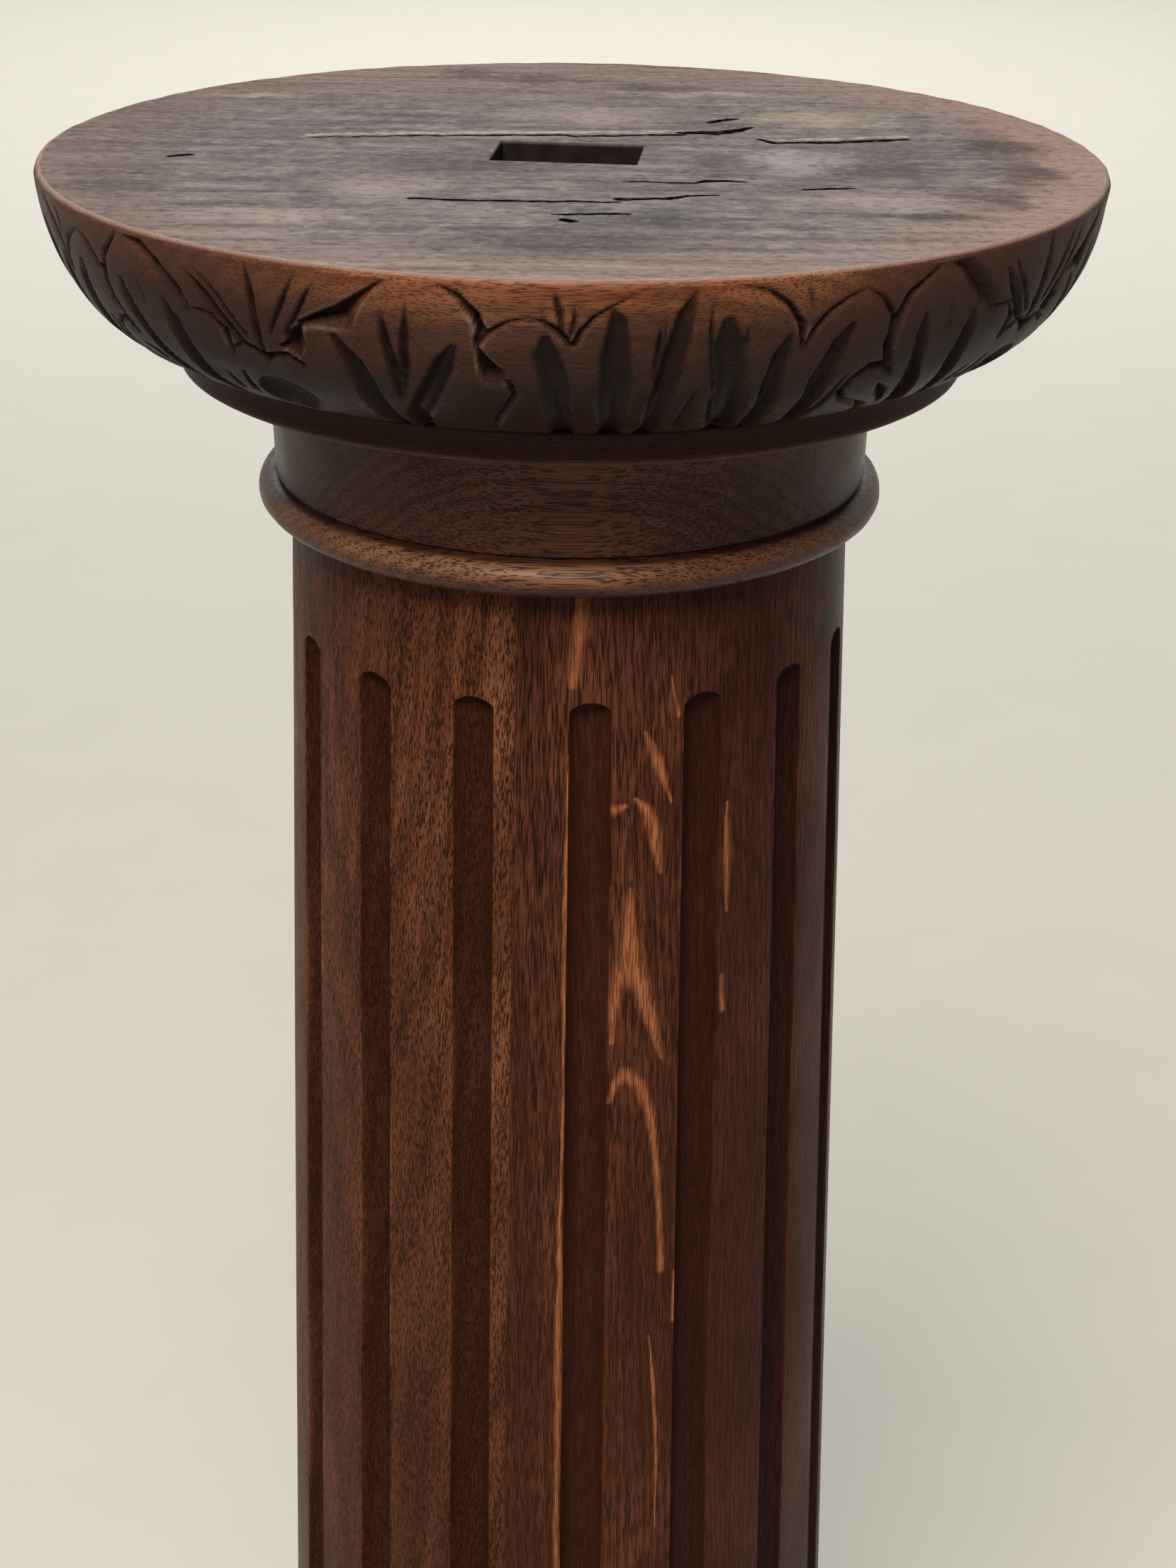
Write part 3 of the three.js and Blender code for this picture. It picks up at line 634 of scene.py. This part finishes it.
def base_disc_piece():
    """A plinth band, a rounded shoulder and a fillet."""
    shoulder = DISC_RADIUS - DISC_STEP - SHOULDER_RADIUS
    shoulder_top = DISC_BAND_TOP + SHOULDER_RADIUS
    profile = np.concatenate(
        [
            line((CORE_RADIUS, 0.0), (DISC_RADIUS - DISC_EDGE, 0.0), 3),
            arc(DISC_EDGE, DISC_RADIUS - DISC_EDGE, DISC_EDGE, -70, 0, 4),
            line((DISC_RADIUS, DISC_EDGE + 3.0), (DISC_RADIUS, DISC_BAND_TOP - DISC_EDGE - 2.0), 3),
            arc(DISC_EDGE, DISC_RADIUS - DISC_EDGE, DISC_BAND_TOP - DISC_EDGE, 0, 90, 5),
            arc(SHOULDER_RADIUS, shoulder, DISC_BAND_TOP, 2, 90, 16),
            line((FILLET_RADIUS, shoulder_top), (FILLET_RADIUS, BASE_DISC_HEIGHT - FILLET_EDGE), 3),
            line((FILLET_RADIUS - FILLET_EDGE, BASE_DISC_HEIGHT), (CORE_RADIUS, BASE_DISC_HEIGHT), 2),
        ]
    )
    return turned("turned_base_disc", profile, wobble=0.15, seed=23)


# Fluted shaft
def shaft_radius(height):
    """An even taper at the top, then a swelling whose slope runs out at the foot."""
    below = NECKING_BOTTOM - height
    straight = np.minimum(below, STRAIGHT_TAPER)
    bent = np.maximum(below - STRAIGHT_TAPER, 0.0)
    bent_length = NECKING_BOTTOM - SHAFT_BOTTOM - STRAIGHT_TAPER
    return SHAFT_TOP_RADIUS + SHAFT_SLOPE * (straight + bent - bent**2 / (2 * bent_length))


def shaft_rows():
    """Heights of the rows and how far each lies past the straight part of a flute, as a share of its end."""
    top_tip = NECKING_BOTTOM - FLUTE_TOP_MARGIN
    foot_tip = SHAFT_BOTTOM + FLUTE_FOOT_MARGIN
    share = math.radians(FLUTE_HALF_ANGLE) * FLUTE_END_SHARE
    top_length = shaft_radius(top_tip) * share
    foot_length = shaft_radius(foot_tip) * share
    past = np.sin(np.linspace(math.pi / 2, 0.0, FLUTE_END_ROWS))
    foot_end = foot_tip + foot_length
    top_end = top_tip - top_length
    between = np.linspace(foot_end, top_end, SHAFT_ROWS + 2)[1:-1]
    height = np.concatenate(
        [
            np.linspace(SHAFT_BOTTOM, foot_tip, 5)[:-1],
            foot_end - past * foot_length,
            between,
            (top_end + past * top_length)[::-1],
            np.linspace(top_tip, NECKING_BOTTOM, 7)[1:],
        ]
    )
    shares = np.concatenate([np.ones(4), past, np.zeros(SHAFT_ROWS), past[::-1], np.ones(6)])
    return height, shares


def shaft_piece():
    """The tapering shaft with its flutes, whose columns follow the edges of the flutes."""
    height, past = shaft_rows()
    plain = shaft_radius(height)[:, None]
    pitch = 360.0 / FLUTE_COUNT
    across = np.sin(np.linspace(-math.pi / 2, math.pi / 2, FLUTE_COLUMNS))
    land = smooth(np.linspace(0.0, 1.0, LAND_COLUMNS + 2)[1:-1], 0.0, 1.0)
    end_share = np.sqrt(np.clip(1.0 - past**2, 0.0025, 1.0))[:, None]
    half_angle = FLUTE_HALF_ANGLE * end_share
    half_width = plain * math.radians(FLUTE_HALF_ANGLE)
    flute_depth = FLUTE_DEPTH * plain / SHAFT_TOP_RADIUS
    curve = (half_width**2 + flute_depth**2) / (2 * flute_depth)
    in_row = past[:, None] < 0.999
    angles = []
    cuts = []
    edges = []
    for flute in range(FLUTE_COUNT):
        middle = FIRST_FLUTE + flute * pitch
        in_flute = across[None, :] * half_angle
        aside = across[None, :] * end_share * half_width
        reach = aside**2 + (past[:, None] * half_width) ** 2
        cut = np.sqrt(np.clip(curve**2 - reach, 0.0, None)) - (curve - flute_depth)
        angles.append(middle + in_flute)
        cuts.append(np.clip(cut, 0.0, None) * in_row)
        edges.append(np.abs(across[None, :]) ** 12 * in_row)
        on_land = half_angle + (pitch - 2 * half_angle) * land[None, :]
        from_edge = np.minimum(land, 1 - land)[None, :] * (pitch - 2 * half_angle) * np.radians(1.0) * plain
        worn = np.exp(-from_edge / EDGE_WEAR_REACH) * in_row
        angles.append(middle + on_land)
        cuts.append(EDGE_WEAR_DEPTH * worn)
        edges.append(worn)
    angle = np.concatenate(angles, axis=1)
    cut = np.concatenate(cuts, axis=1)
    edge = np.concatenate(edges, axis=1)
    uneven = 0.1 * ripple(angle / 9.0 + 40.0, height[:, None] / 60.0, 8)
    points = around(angle, plain - cut + uneven, height[:, None])
    flute = np.clip(cut / flute_depth, 0.0, 1.0)
    return closed_grid("fluted_shaft", points, {"flute": flute, "edge": edge})


# Materials
def linear(colour):
    """A colour written as six hex digits, as the shader's own values."""
    values = [int(colour[i : i + 2], 16) / 255 for i in (0, 2, 4)]
    return [v / 12.92 if v <= 0.04045 else ((v + 0.055) / 1.055) ** 2.4 for v in values] + [1.0]


class Shader:
    """One material and short calls that add its nodes."""

    def __init__(self, name):
        self.material = bpy.data.materials.new(name)
        self.material.use_nodes = True
        self.nodes = self.material.node_tree.nodes
        self.links = self.material.node_tree.links
        self.nodes.clear()
        self.surface = self.nodes.new("ShaderNodeBsdfPrincipled")
        output = self.nodes.new("ShaderNodeOutputMaterial")
        self.links.new(self.surface.outputs["BSDF"], output.inputs["Surface"])

    def set(self, socket, value):
        """Gives a socket another node's output, a colour of six hex digits or a plain value."""
        if isinstance(value, bpy.types.NodeSocket):
            self.links.new(value, socket)
        elif isinstance(value, str):
            socket.default_value = linear(value)
        else:
            socket.default_value = value

    def math(self, operation, first, second=0.0, clamp=False):
        node = self.nodes.new("ShaderNodeMath")
        node.operation = operation
        node.use_clamp = clamp
        self.set(node.inputs[0], first)
        self.set(node.inputs[1], second)
        return node.outputs[0]

    def plus(self, first, second):
        return self.math("ADD", first, second)

    def minus(self, first, second):
        return self.math("SUBTRACT", first, second)

    def times(self, first, second):
        return self.math("MULTIPLY", first, second)

    def over(self, first, second):
        return self.math("DIVIDE", first, second)

    def vector(self, operation, first, second=(0.0, 0.0, 0.0)):
        node = self.nodes.new("ShaderNodeVectorMath")
        node.operation = operation
        self.set(node.inputs[0], first)
        if operation == "SCALE":
            self.set(node.inputs["Scale"], second)
        else:
            self.set(node.inputs[1], second)
        return node.outputs["Value"] if operation in ("DOT_PRODUCT", "LENGTH") else node.outputs["Vector"]

    def place(self):
        """Position on the object in millimetres."""
        node = self.nodes.new("ShaderNodeTexCoord")
        return self.vector("SCALE", node.outputs["Object"], 1.0 / MM)

    def axes(self, vector):
        node = self.nodes.new("ShaderNodeSeparateXYZ")
        self.set(node.inputs[0], vector)
        return node.outputs[0], node.outputs[1], node.outputs[2]

    def join(self, x, y, z):
        node = self.nodes.new("ShaderNodeCombineXYZ")
        for socket, value in zip(node.inputs, (x, y, z)):
            self.set(socket, value)
        return node.outputs[0]

    def noise(self, vector, detail=2.0, roughness=0.5):
        node = self.nodes.new("ShaderNodeTexNoise")
        self.set(node.inputs["Vector"], vector)
        node.inputs["Scale"].default_value = 1.0
        node.inputs["Detail"].default_value = detail
        node.inputs["Roughness"].default_value = roughness
        return node.outputs["Fac"]

    def clouds(self, first, second, third, detail, roughness=0.5):
        """Noise over three distances, each given with the size that its features have along it."""
        shares = [self.over(distance, size) for distance, size in (first, second, third)]
        return self.noise(self.join(*shares), detail, roughness)

    def spread(self, value, low, high, start=0.0, end=1.0):
        node = self.nodes.new("ShaderNodeMapRange")
        node.interpolation_type = "SMOOTHSTEP"
        self.set(node.inputs["Value"], value)
        for key, number in (("From Min", low), ("From Max", high), ("To Min", start), ("To Max", end)):
            self.set(node.inputs[key], number)
        return node.outputs["Result"]

    def mix(self, share, first, second):
        node = self.nodes.new("ShaderNodeMix")
        node.data_type = "RGBA"
        self.set(node.inputs[0], share)
        self.set(node.inputs[6], first)
        self.set(node.inputs[7], second)
        return node.outputs[2]

    def attribute(self, name):
        node = self.nodes.new("ShaderNodeAttribute")
        node.attribute_name = name
        return node.outputs["Fac"]

    def strokes(self, x, y, runs, core):
        """How strongly the nearest of some soft strokes shows, each a run of points x, y and half width."""
        least = 1.0
        spot = self.join(x, y, 0.0)
        for run in runs:
            for (x0, y0, width0), (x1, y1, width1) in zip(run[:-1], run[1:]):
                way = Vector((x1 - x0, y1 - y0, 0.0))
                from_start = self.vector("SUBTRACT", spot, (x0, y0, 0.0))
                share = self.vector("DOT_PRODUCT", from_start, way / way.length_squared)
                share = self.math("MULTIPLY", share, 1.0, True)
                nearest = self.vector("SCALE", tuple(way), share)
                gap = self.vector("LENGTH", self.vector("SUBTRACT", from_start, nearest))
                half_width = self.plus(self.times(share, width1 - width0), width0)
                least = self.math("MINIMUM", least, self.over(gap, half_width))
        return self.spread(least, core, 1.0, 1.0, 0.0)

    def finish(self, colour, roughness, height, depth, gloss):
        """Joins colour, roughness and a height in units of depth (metres) to the surface."""
        bump = self.nodes.new("ShaderNodeBump")
        bump.inputs["Strength"].default_value = 1.0
        bump.inputs["Distance"].default_value = depth
        self.set(bump.inputs["Height"], height)
        self.set(self.surface.inputs["Base Color"], colour)
        self.set(self.surface.inputs["Roughness"], roughness)
        self.surface.inputs["Specular IOR Level"].default_value = gloss
        self.links.new(bump.outputs["Normal"], self.surface.inputs["Normal"])
        return self.material


def oak_grain(shader, run, across, pore_length, pore_width, ring_width, limit, lean=0.0):
    """Pores, growth rings and blotches of oak whose grain runs along one axis of the place given.

    run is the distance along the grain and across holds the two distances square to it. The lower the
    limit, the closer the pores stand.
    """
    first, second = across
    bend = shader.clouds((first, BEND_WIDTH), (second, BEND_WIDTH), (run, BEND_LENGTH), 2.0)
    bent = shader.plus(first, shader.times(bend, BEND_REACH))
    bent = shader.plus(bent, shader.times(run, lean))
    ring = shader.math("SINE", shader.times(shader.plus(bent, second), math.tau / ring_width))
    early = shader.spread(ring, -0.5, 0.9)
    speckle = shader.clouds((first, pore_width), (second, pore_width), (run, pore_length), 1.0)
    least = shader.minus(limit, shader.times(early, EARLY_PORES))
    pores = shader.spread(shader.minus(speckle, least), -PORE_EDGE, PORE_EDGE)
    streaks = shader.clouds((bent, STREAK_WIDTH), (second, STREAK_WIDTH), (run, STREAK_LENGTH), 4.0, 0.65)
    blotch = shader.clouds((first, BLOTCH_WIDTH), (second, BLOTCH_WIDTH), (run, BLOTCH_LENGTH), 3.0, 0.55)
    return {"pores": pores, "early": early, "streaks": streaks, "blotch": blotch}


def oak_colour(shader, grain, dark, middle, light, pore):
    """Colour of stained oak from its grain."""
    base = shader.mix(shader.spread(grain["streaks"], 0.3, 0.7), dark, middle)
    base = shader.mix(shader.spread(grain["blotch"], 0.42, 0.72), base, light)
    base = shader.mix(shader.times(grain["early"], EARLY_SHARE), base, dark)
    return shader.mix(shader.times(grain["pores"], PORE_SHARE), base, pore)


def carved_oak():
    """Side of the capital: warm long grain in front, dark end grain aside with painted shade, dirt and
    painted shade in the cuts, painted shade low down, on the right and on the lip, painted highlights on the
    lip's edge and the rim.
    """
    shader = Shader("carved_oak")
    x, y, z = shader.axes(shader.place())
    grain = oak_grain(shader, x, (y, z), pore_length=7.0, pore_width=0.35, ring_width=5.0, limit=0.60)
    colour = oak_colour(shader, grain, "58311e", "7b4a30", "966143", "482817")
    # Darker end grain to the sides, which also paints the shade on the sides turned from the light
    end_grain_and_shade = shader.spread(shader.math("ABSOLUTE", x), 30.0, 105.0)
    colour = shader.mix(shader.times(end_grain_and_shade, 0.85), colour, "3f2820")
    # Painted shade: the capital is painted darker to the right, away from the light
    right = shader.spread(x, 40.0, 130.0, 0.0, 0.4)
    colour = shader.mix(right, colour, "241611")
    # Painted shade: the ovolo is painted darker down towards its foot, which faces down from the light
    low = shader.spread(z, TOTAL_HEIGHT - 15.0, TOTAL_HEIGHT - 1.0, 0.86, 0.0)
    colour = shader.mix(low, colour, "2f1f1a")
    foot = shader.spread(z, TOTAL_HEIGHT - 34.0, TOTAL_HEIGHT - 10.0, 0.52, 0.0)
    colour = shader.mix(foot, colour, "150b09")
    # Dirt with painted shade in the cuts and on the lip, darker in patches
    patchy = shader.spread(grain["blotch"], 0.3, 0.6, 0.75, 0.95)
    dirt_and_shade = shader.times(shader.attribute("recess"), patchy)
    colour = shader.mix(dirt_and_shade, colour, "190d0a")
    rubbed_bare = shader.spread(grain["blotch"], 0.4, 0.6, 0.1, 0.6)
    wear = shader.times(shader.attribute("wear"), rubbed_bare)
    colour = shader.mix(wear, colour, "8f7465")
    # Painted shade: the lip under the overhang of the ovolo is painted dark
    lip = shader.spread(z, CAPITAL_BOTTOM + 7.5, CAPITAL_BOTTOM + 10.0, 0.9, 0.0)
    colour = shader.mix(lip, colour, "39221d")
    # Painted highlight: a paler line on the rounded lower edge of the lip
    wear_and_highlight = shader.spread(z, CAPITAL_BOTTOM + 0.6, CAPITAL_BOTTOM + 2.2, 0.6, 0.0)
    colour = shader.mix(wear_and_highlight, colour, "5b4035")
    # Painted highlight: a thin pale line along the top edge of the rim
    rim = shader.spread(z, TOTAL_HEIGHT - 1.1, TOTAL_HEIGHT - 0.3)
    colour = shader.mix(shader.times(rim, 0.6), colour, "8a7066")
    roughness = shader.spread(grain["blotch"], 0.3, 0.7, 0.36, 0.50)
    height = shader.minus(shader.times(grain["streaks"], 0.3), grain["pores"])
    return shader.finish(colour, roughness, height, depth=0.00015, gloss=0.08)


def weathered_top_with_sheen():
    """Top of the capital: rough grey, stained and split along the grain, redder towards the rim. Its grey is
    partly a painted sheen, and the walls of the mortise are painted near black as shade.
    """
    shader = Shader("weathered_top_with_sheen")
    x, y, _ = shader.axes(shader.place())

    def cloud(along, across, layer, detail):
        spot = shader.join(shader.over(x, along), shader.over(y, across), layer)
        return shader.noise(spot, detail, 0.6)

    def moved(place, noise, reach):
        return shader.plus(place, shader.times(shader.minus(noise, 0.5), reach))

    radius = shader.vector("LENGTH", shader.join(x, y, 0.0))
    patches = cloud(42.0, 36.0, 1.0, 6.0)
    streaks = cloud(55.0, 6.0, 3.0, 5.0)
    rough = cloud(3.4, 2.6, 11.0, 4.0)
    outer = shader.spread(moved(radius, patches, 80.0), 108.0, 142.0)
    # Painted reflection: with no gloss on the top, these greys stand in partly for the sheen of the pale
    # light behind
    colour = shader.mix(shader.spread(streaks, 0.25, 0.75), "544f4f", "787271")
    mottle = cloud(9.0, 8.0, 15.0, 4.0)
    colour = shader.mix(shader.spread(mottle, 0.45, 0.7, 0.0, 0.5), colour, "474343")
    colour = shader.mix(shader.spread(mottle, 0.48, 0.3, 0.0, 0.4), colour, "8d8481")
    colour = shader.mix(shader.spread(patches, 0.45, 0.65, 0.0, 0.5), colour, "545051")
    rim = shader.mix(shader.spread(streaks, 0.25, 0.75), "5f524f", "827671")
    rim = shader.mix(shader.spread(x, 70.0, 140.0, 0.0, 0.6), rim, "8c746b")
    rim = shader.mix(shader.spread(x, -60.0, -130.0, 0.0, 0.4), rim, "544c4a")
    colour = shader.mix(outer, colour, rim)
    back = shader.spread(moved(y, patches, 60.0), 55.0, 110.0, 0.0, 0.6)
    colour = shader.mix(back, colour, rim)
    stray_x = moved(x, cloud(20.0, 16.0, 5.0, 5.0), 44.0)
    stray_y = moved(y, cloud(20.0, 16.0, 9.0, 5.0), 34.0)
    stray = shader.join(stray_x, stray_y, 0.0)
    for tint, strength, ovals in TOP_STAINS:
        shown = 0.0
        for middle_x, middle_y, half_length, half_width in ovals:
            aside = shader.vector("SUBTRACT", stray, (middle_x, middle_y, 0.0))
            share = shader.vector("LENGTH", shader.vector("DIVIDE", aside, (half_length, half_width, 1.0)))
            shown = shader.math("MAXIMUM", shown, shader.spread(share, 0.1, 1.0, strength, 0.0))
        colour = shader.mix(shown, colour, tint)
    colour = shader.mix(shader.spread(rough, 0.50, 0.72, 0.0, 0.5), colour, "332e2d")
    colour = shader.mix(shader.spread(rough, 0.48, 0.28, 0.0, 0.25), colour, "9c9290")
    bent_y = moved(y, cloud(9.0, 9.0, 0.0, 5.0), 5.0)
    lips = shader.strokes(x, bent_y, TOP_LIPS, 0.5)
    lips = shader.times(lips, shader.spread(rough, 0.6, 0.4, 0.2, 0.7))
    colour = shader.mix(lips, colour, "a8978a")
    splits = shader.strokes(x, bent_y, TOP_SPLITS, 0.55)
    splits = shader.times(splits, shader.spread(rough, 0.3, 0.5, 0.75, 1.0))
    colour = shader.mix(splits, colour, "060404")
    # Painted shade: the walls of the mortise are painted near black
    mortise_shade = shader.attribute("recess")
    walls = shader.noise(shader.vector("SCALE", shader.place(), 0.2), 4.0)
    colour = shader.mix(mortise_shade, colour, shader.mix(walls, "2e2522", "050303"))
    roughness = shader.spread(rough, 0.3, 0.7, 0.45, 0.62)
    height = shader.minus(streaks, rough)
    return shader.finish(colour, roughness, height, depth=0.0012, gloss=0.0)


def turned_oak(name, dark, middle, light, pore, highlight_low, highlight_high):
    """Turned discs of oak whose grain lies flat along X, with a painted highlight, a paler band, between two
    heights.
    """
    shader = Shader(name)
    x, y, z = shader.axes(shader.place())
    grain = oak_grain(shader, x, (y, z), pore_length=26.0, pore_width=0.4, ring_width=4.5, limit=0.60)
    colour = oak_colour(shader, grain, dark, middle, light, pore)
    # Painted highlight: a paler band on the bead
    wear_and_highlight = oak_colour(shader, grain, "6d4530", "86593f", "9c6e50", "2e1a11")
    above = shader.spread(z, highlight_low, highlight_low + 4.0)
    below = shader.spread(z, highlight_high - 0.8, highlight_high, 1.0, 0.0)
    colour = shader.mix(shader.times(shader.times(above, below), 0.9), colour, wear_and_highlight)
    roughness = shader.spread(grain["blotch"], 0.3, 0.7, 0.30, 0.44)
    height = shader.minus(shader.times(grain["streaks"], 0.3), grain["pores"])
    return shader.finish(colour, roughness, height, depth=0.0002, gloss=0.25)


def shaft_oak():
    """Boards of the shaft, grain upright: coarse and warm on the left, fine and dark red on the right."""
    shader = Shader("shaft_oak")
    x, y, z = shader.axes(shader.place())
    leaning = shader.minus(x, shader.times(z, BOARD_LEAN))
    coarse = oak_grain(
        shader, z, (leaning, y), pore_length=2.8, pore_width=0.36,
        ring_width=6.0, limit=0.59, lean=-BOARD_LEAN,
    )
    fine = oak_grain(shader, z, (x, y), pore_length=26.0, pore_width=0.28, ring_width=3.2, limit=0.57)
    left = oak_colour(shader, coarse, "4b2718", "6a3c27", "7d4c35", "22100a")
    right = oak_colour(shader, fine, "3a1c12", "562d1e", "6c3d2b", "1c0b06")
    middle = oak_colour(shader, fine, "3a1d13", "572f20", "693c2a", "190a06")
    sunk = shader.minus(NECKING_BOTTOM, z)
    plumb = shader.plus(x, shader.times(sunk, JOINT_LEAN))
    in_left = shader.spread(plumb, LEFT_JOINT - 0.3, LEFT_JOINT + 0.3, 1.0, 0.0)
    in_right = shader.spread(x, RIGHT_JOINT - 0.3, RIGHT_JOINT + 0.3)
    colour = shader.mix(in_left, middle, left)
    colour = shader.mix(in_right, colour, right)
    shade = shader.spread(x, 8.0, 60.0, 0.0, 0.36)
    colour = shader.mix(shade, colour, "2a140d")
    # Painted shadow under the necking on the top of the shaft, strongest between 14 and 40 mm right of the
    # middle
    shade_under_necking = shader.spread(z, NECKING_BOTTOM - 55.0, NECKING_BOTTOM - 5.0, 0.0, 0.45)
    shade_under_necking = shader.times(shade_under_necking, shader.spread(x, 2.0, 14.0, 0.1, 1.0))
    shade_under_necking = shader.times(shade_under_necking, shader.spread(x, 40.0, 65.0, 1.0, 0.1))
    colour = shader.mix(shade_under_necking, colour, "2a1510")
    lower = shader.spread(z, 620.0, 860.0, 0.35, 0.0)
    colour = shader.mix(lower, colour, "3f1e0e")
    wobble = shader.noise(shader.join(shader.over(x, 6.0), 0.0, shader.over(z, 22.0)), detail=3.0)
    bent_x = shader.plus(x, shader.times(shader.minus(wobble, 0.5), 1.2))
    front = shader.spread(y, -40.0, -30.0, 1.0, 0.0)
    pale = shader.times(shader.strokes(bent_x, z, SAPWOOD, 0.0), front)
    pale = shader.times(pale, shader.spread(fine["pores"], 0.0, 1.0, 1.0, 0.4))
    flute = shader.attribute("flute")
    pale = shader.times(pale, shader.spread(flute, 0.05, 0.2, 1.0, 0.35))
    colour = shader.mix(shader.times(pale, 0.82), colour, "9e5f3a")
    in_flute = shader.spread(flute, 0.0, 0.15)
    shadow = shader.mix(shader.spread(x, 15.0, 80.0), "311710", "1d0b08")
    colour = shader.mix(shader.times(in_flute, 0.85), colour, shadow)
    wear_and_highlight = shader.spread(coarse["blotch"], 0.4, 0.7, 0.0, 0.4)
    edge = shader.times(shader.attribute("edge"), wear_and_highlight)
    edge = shader.times(edge, shader.spread(x, 5.0, 60.0, 1.0, 0.2))
    colour = shader.mix(edge, colour, "8d5a3a")
    roughness = shader.spread(coarse["blotch"], 0.3, 0.7, 0.34, 0.48)
    pores = shader.times(coarse["pores"], in_left)
    pores = shader.plus(pores, shader.times(fine["pores"], 0.5))
    height = shader.minus(shader.times(fine["streaks"], 0.3), pores)
    return shader.finish(colour, roughness, height, depth=0.0003, gloss=0.06)


def dress(thing, node, slot, *materials):
    """Puts a piece on the column in place of its solid and gives it its materials."""
    for material in materials:
        thing.data.materials.append(material)
    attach(thing, "root")
    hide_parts(node)


def top_faces(thing):
    """Gives the flat top and the mortise the second material."""
    edge = (TOP_RADIUS - RIM_ROUNDING - 0.4) * MM
    lowest = (TOTAL_HEIGHT - 1.0) * MM
    inner = (LIP_RADIUS - 20.0) * MM
    for face in thing.data.polygons:
        middle = face.center
        reach = math.hypot(middle.x, middle.y)
        on_top = reach < edge and middle.z > lowest
        in_mortise = reach < inner and middle.z > (CAPITAL_BOTTOM + 5.0) * MM
        face.material_index = 1 if on_top or in_mortise else 0


capital = capital_piece()
dress(capital, "capital", "capital_oak", carved_oak(), weathered_top_with_sheen())
top_faces(capital)
bead_top = NECKING_BOTTOM + 2 * BEAD_RADIUS
neck_oak = turned_oak(
    "neck_oak", dark="371a10", middle="4b281a", light="5d3524", pore="1d0c08",
    highlight_low=NECKING_BOTTOM + 3.0, highlight_high=bead_top,
)
dress(necking_piece(), "necking", "necking_oak", neck_oak)
dress(shaft_piece(), "shaft", "shaft_oak", shaft_oak())
base_oak = turned_oak(
    "base_oak", dark="3d2418", middle="523222", light="66412c", pore="21120c",
    highlight_low=SHAFT_BOTTOM - 2 * RING_BEAD_RADIUS, highlight_high=SHAFT_BOTTOM,
)
dress(base_ring_piece(), "base_ring", "base_oak", base_oak)
dress(base_disc_piece(), "base_disc", "base_oak", base_oak)


# Floor, light and camera
def pale_floor():
    """A plain pale floor."""
    mesh = bpy.data.meshes.new("floor")
    side = FLOOR_HALF_SIDE
    corners = [(-side, -side, 0), (side, -side, 0), (side, side, 0), (-side, side, 0)]
    mesh.from_pydata(corners, [], [(0, 1, 2, 3)])
    floor = bpy.data.objects.new("floor", mesh)
    bpy.context.scene.collection.objects.link(floor)
    shader = Shader("pale_floor")
    speckle = shader.noise(shader.vector("SCALE", shader.place(), 0.01), 3.0)
    colour = shader.mix(speckle, "c2bfb8", "c7c4bd")
    floor.data.materials.append(shader.finish(colour, 0.8, speckle, depth=0.0002, gloss=0.2))


def soft_light(name, place, target, size, power, colour):
    """A square light aimed at a point, in metres and watts."""
    data = bpy.data.lights.new(name, "AREA")
    data.shape = "SQUARE"
    data.size = size
    data.energy = power
    data.color = colour
    light = bpy.data.objects.new(name, data)
    light.location = place
    light.rotation_euler = (Vector(target) - Vector(place)).to_track_quat("-Z", "Y").to_euler()
    bpy.context.scene.collection.objects.link(light)


def photo_camera():
    """The camera of the picture: distance, height, pitch, roll and yaw as fitted."""
    data = bpy.data.cameras.new("camera")
    data.sensor_fit = "VERTICAL"
    data.sensor_height = SENSOR
    data.lens = SENSOR * FOCAL_PIXELS / PICTURE_HEIGHT
    data.clip_start = 0.01
    data.clip_end = 100.0
    camera = bpy.data.objects.new("camera", data)
    pitch_c, pitch_s = math.cos(CAMERA_PITCH), math.sin(CAMERA_PITCH)
    yaw_c, yaw_s = math.cos(CAMERA_YAW), math.sin(CAMERA_YAW)
    roll_c, roll_s = math.cos(CAMERA_ROLL), math.sin(CAMERA_ROLL)
    forward = Vector((yaw_s * pitch_c, yaw_c * pitch_c, -pitch_s))
    level = Vector((yaw_c, -yaw_s, 0.0))
    upright = Vector((yaw_s * pitch_s, yaw_c * pitch_s, pitch_c))
    right = roll_c * level + roll_s * upright
    up = -roll_s * level + roll_c * upright
    turn = Matrix((right, up, -forward)).transposed().to_4x4()
    place = Vector((0.0, -CAMERA_DISTANCE, TOTAL_HEIGHT + CAMERA_ABOVE_TOP)) * MM
    camera.matrix_world = Matrix.Translation(place) @ turn
    bpy.context.scene.collection.objects.link(camera)
    bpy.context.scene.camera = camera


def studio_world():
    """Pale light from all round, brighter from behind the column than from in front of it."""
    world = bpy.data.worlds.new("studio")
    world.use_nodes = True
    nodes = world.node_tree.nodes
    links = world.node_tree.links
    background = nodes["Background"]
    background.inputs["Color"].default_value = linear("e8e4da")
    direction = nodes.new("ShaderNodeTexCoord")
    axes = nodes.new("ShaderNodeSeparateXYZ")
    links.new(direction.outputs["Generated"], axes.inputs[0])
    strength = nodes.new("ShaderNodeMapRange")
    strength.interpolation_type = "SMOOTHSTEP"
    for key, number in (("From Min", -0.3), ("From Max", 0.9), ("To Min", 0.17), ("To Max", 0.92)):
        strength.inputs[key].default_value = number
    links.new(axes.outputs[1], strength.inputs["Value"])
    links.new(strength.outputs["Result"], background.inputs["Strength"])
    bpy.context.scene.world = world


pale_floor()
soft_light(
    "window", place=(-0.28, -1.47, 2.75), target=(0.0, 0.0, 0.85),
    size=1.0, power=92.0, colour=(1.0, 0.96, 0.90),
)
soft_light(
    "background", place=(0.0, 6.2, 4.5), target=(0.0, 6.2, 0.0),
    size=6.0, power=400.0, colour=(1.0, 0.985, 0.96),
)
studio_world()
photo_camera()
bpy.context.scene.view_settings.view_transform = "Standard"
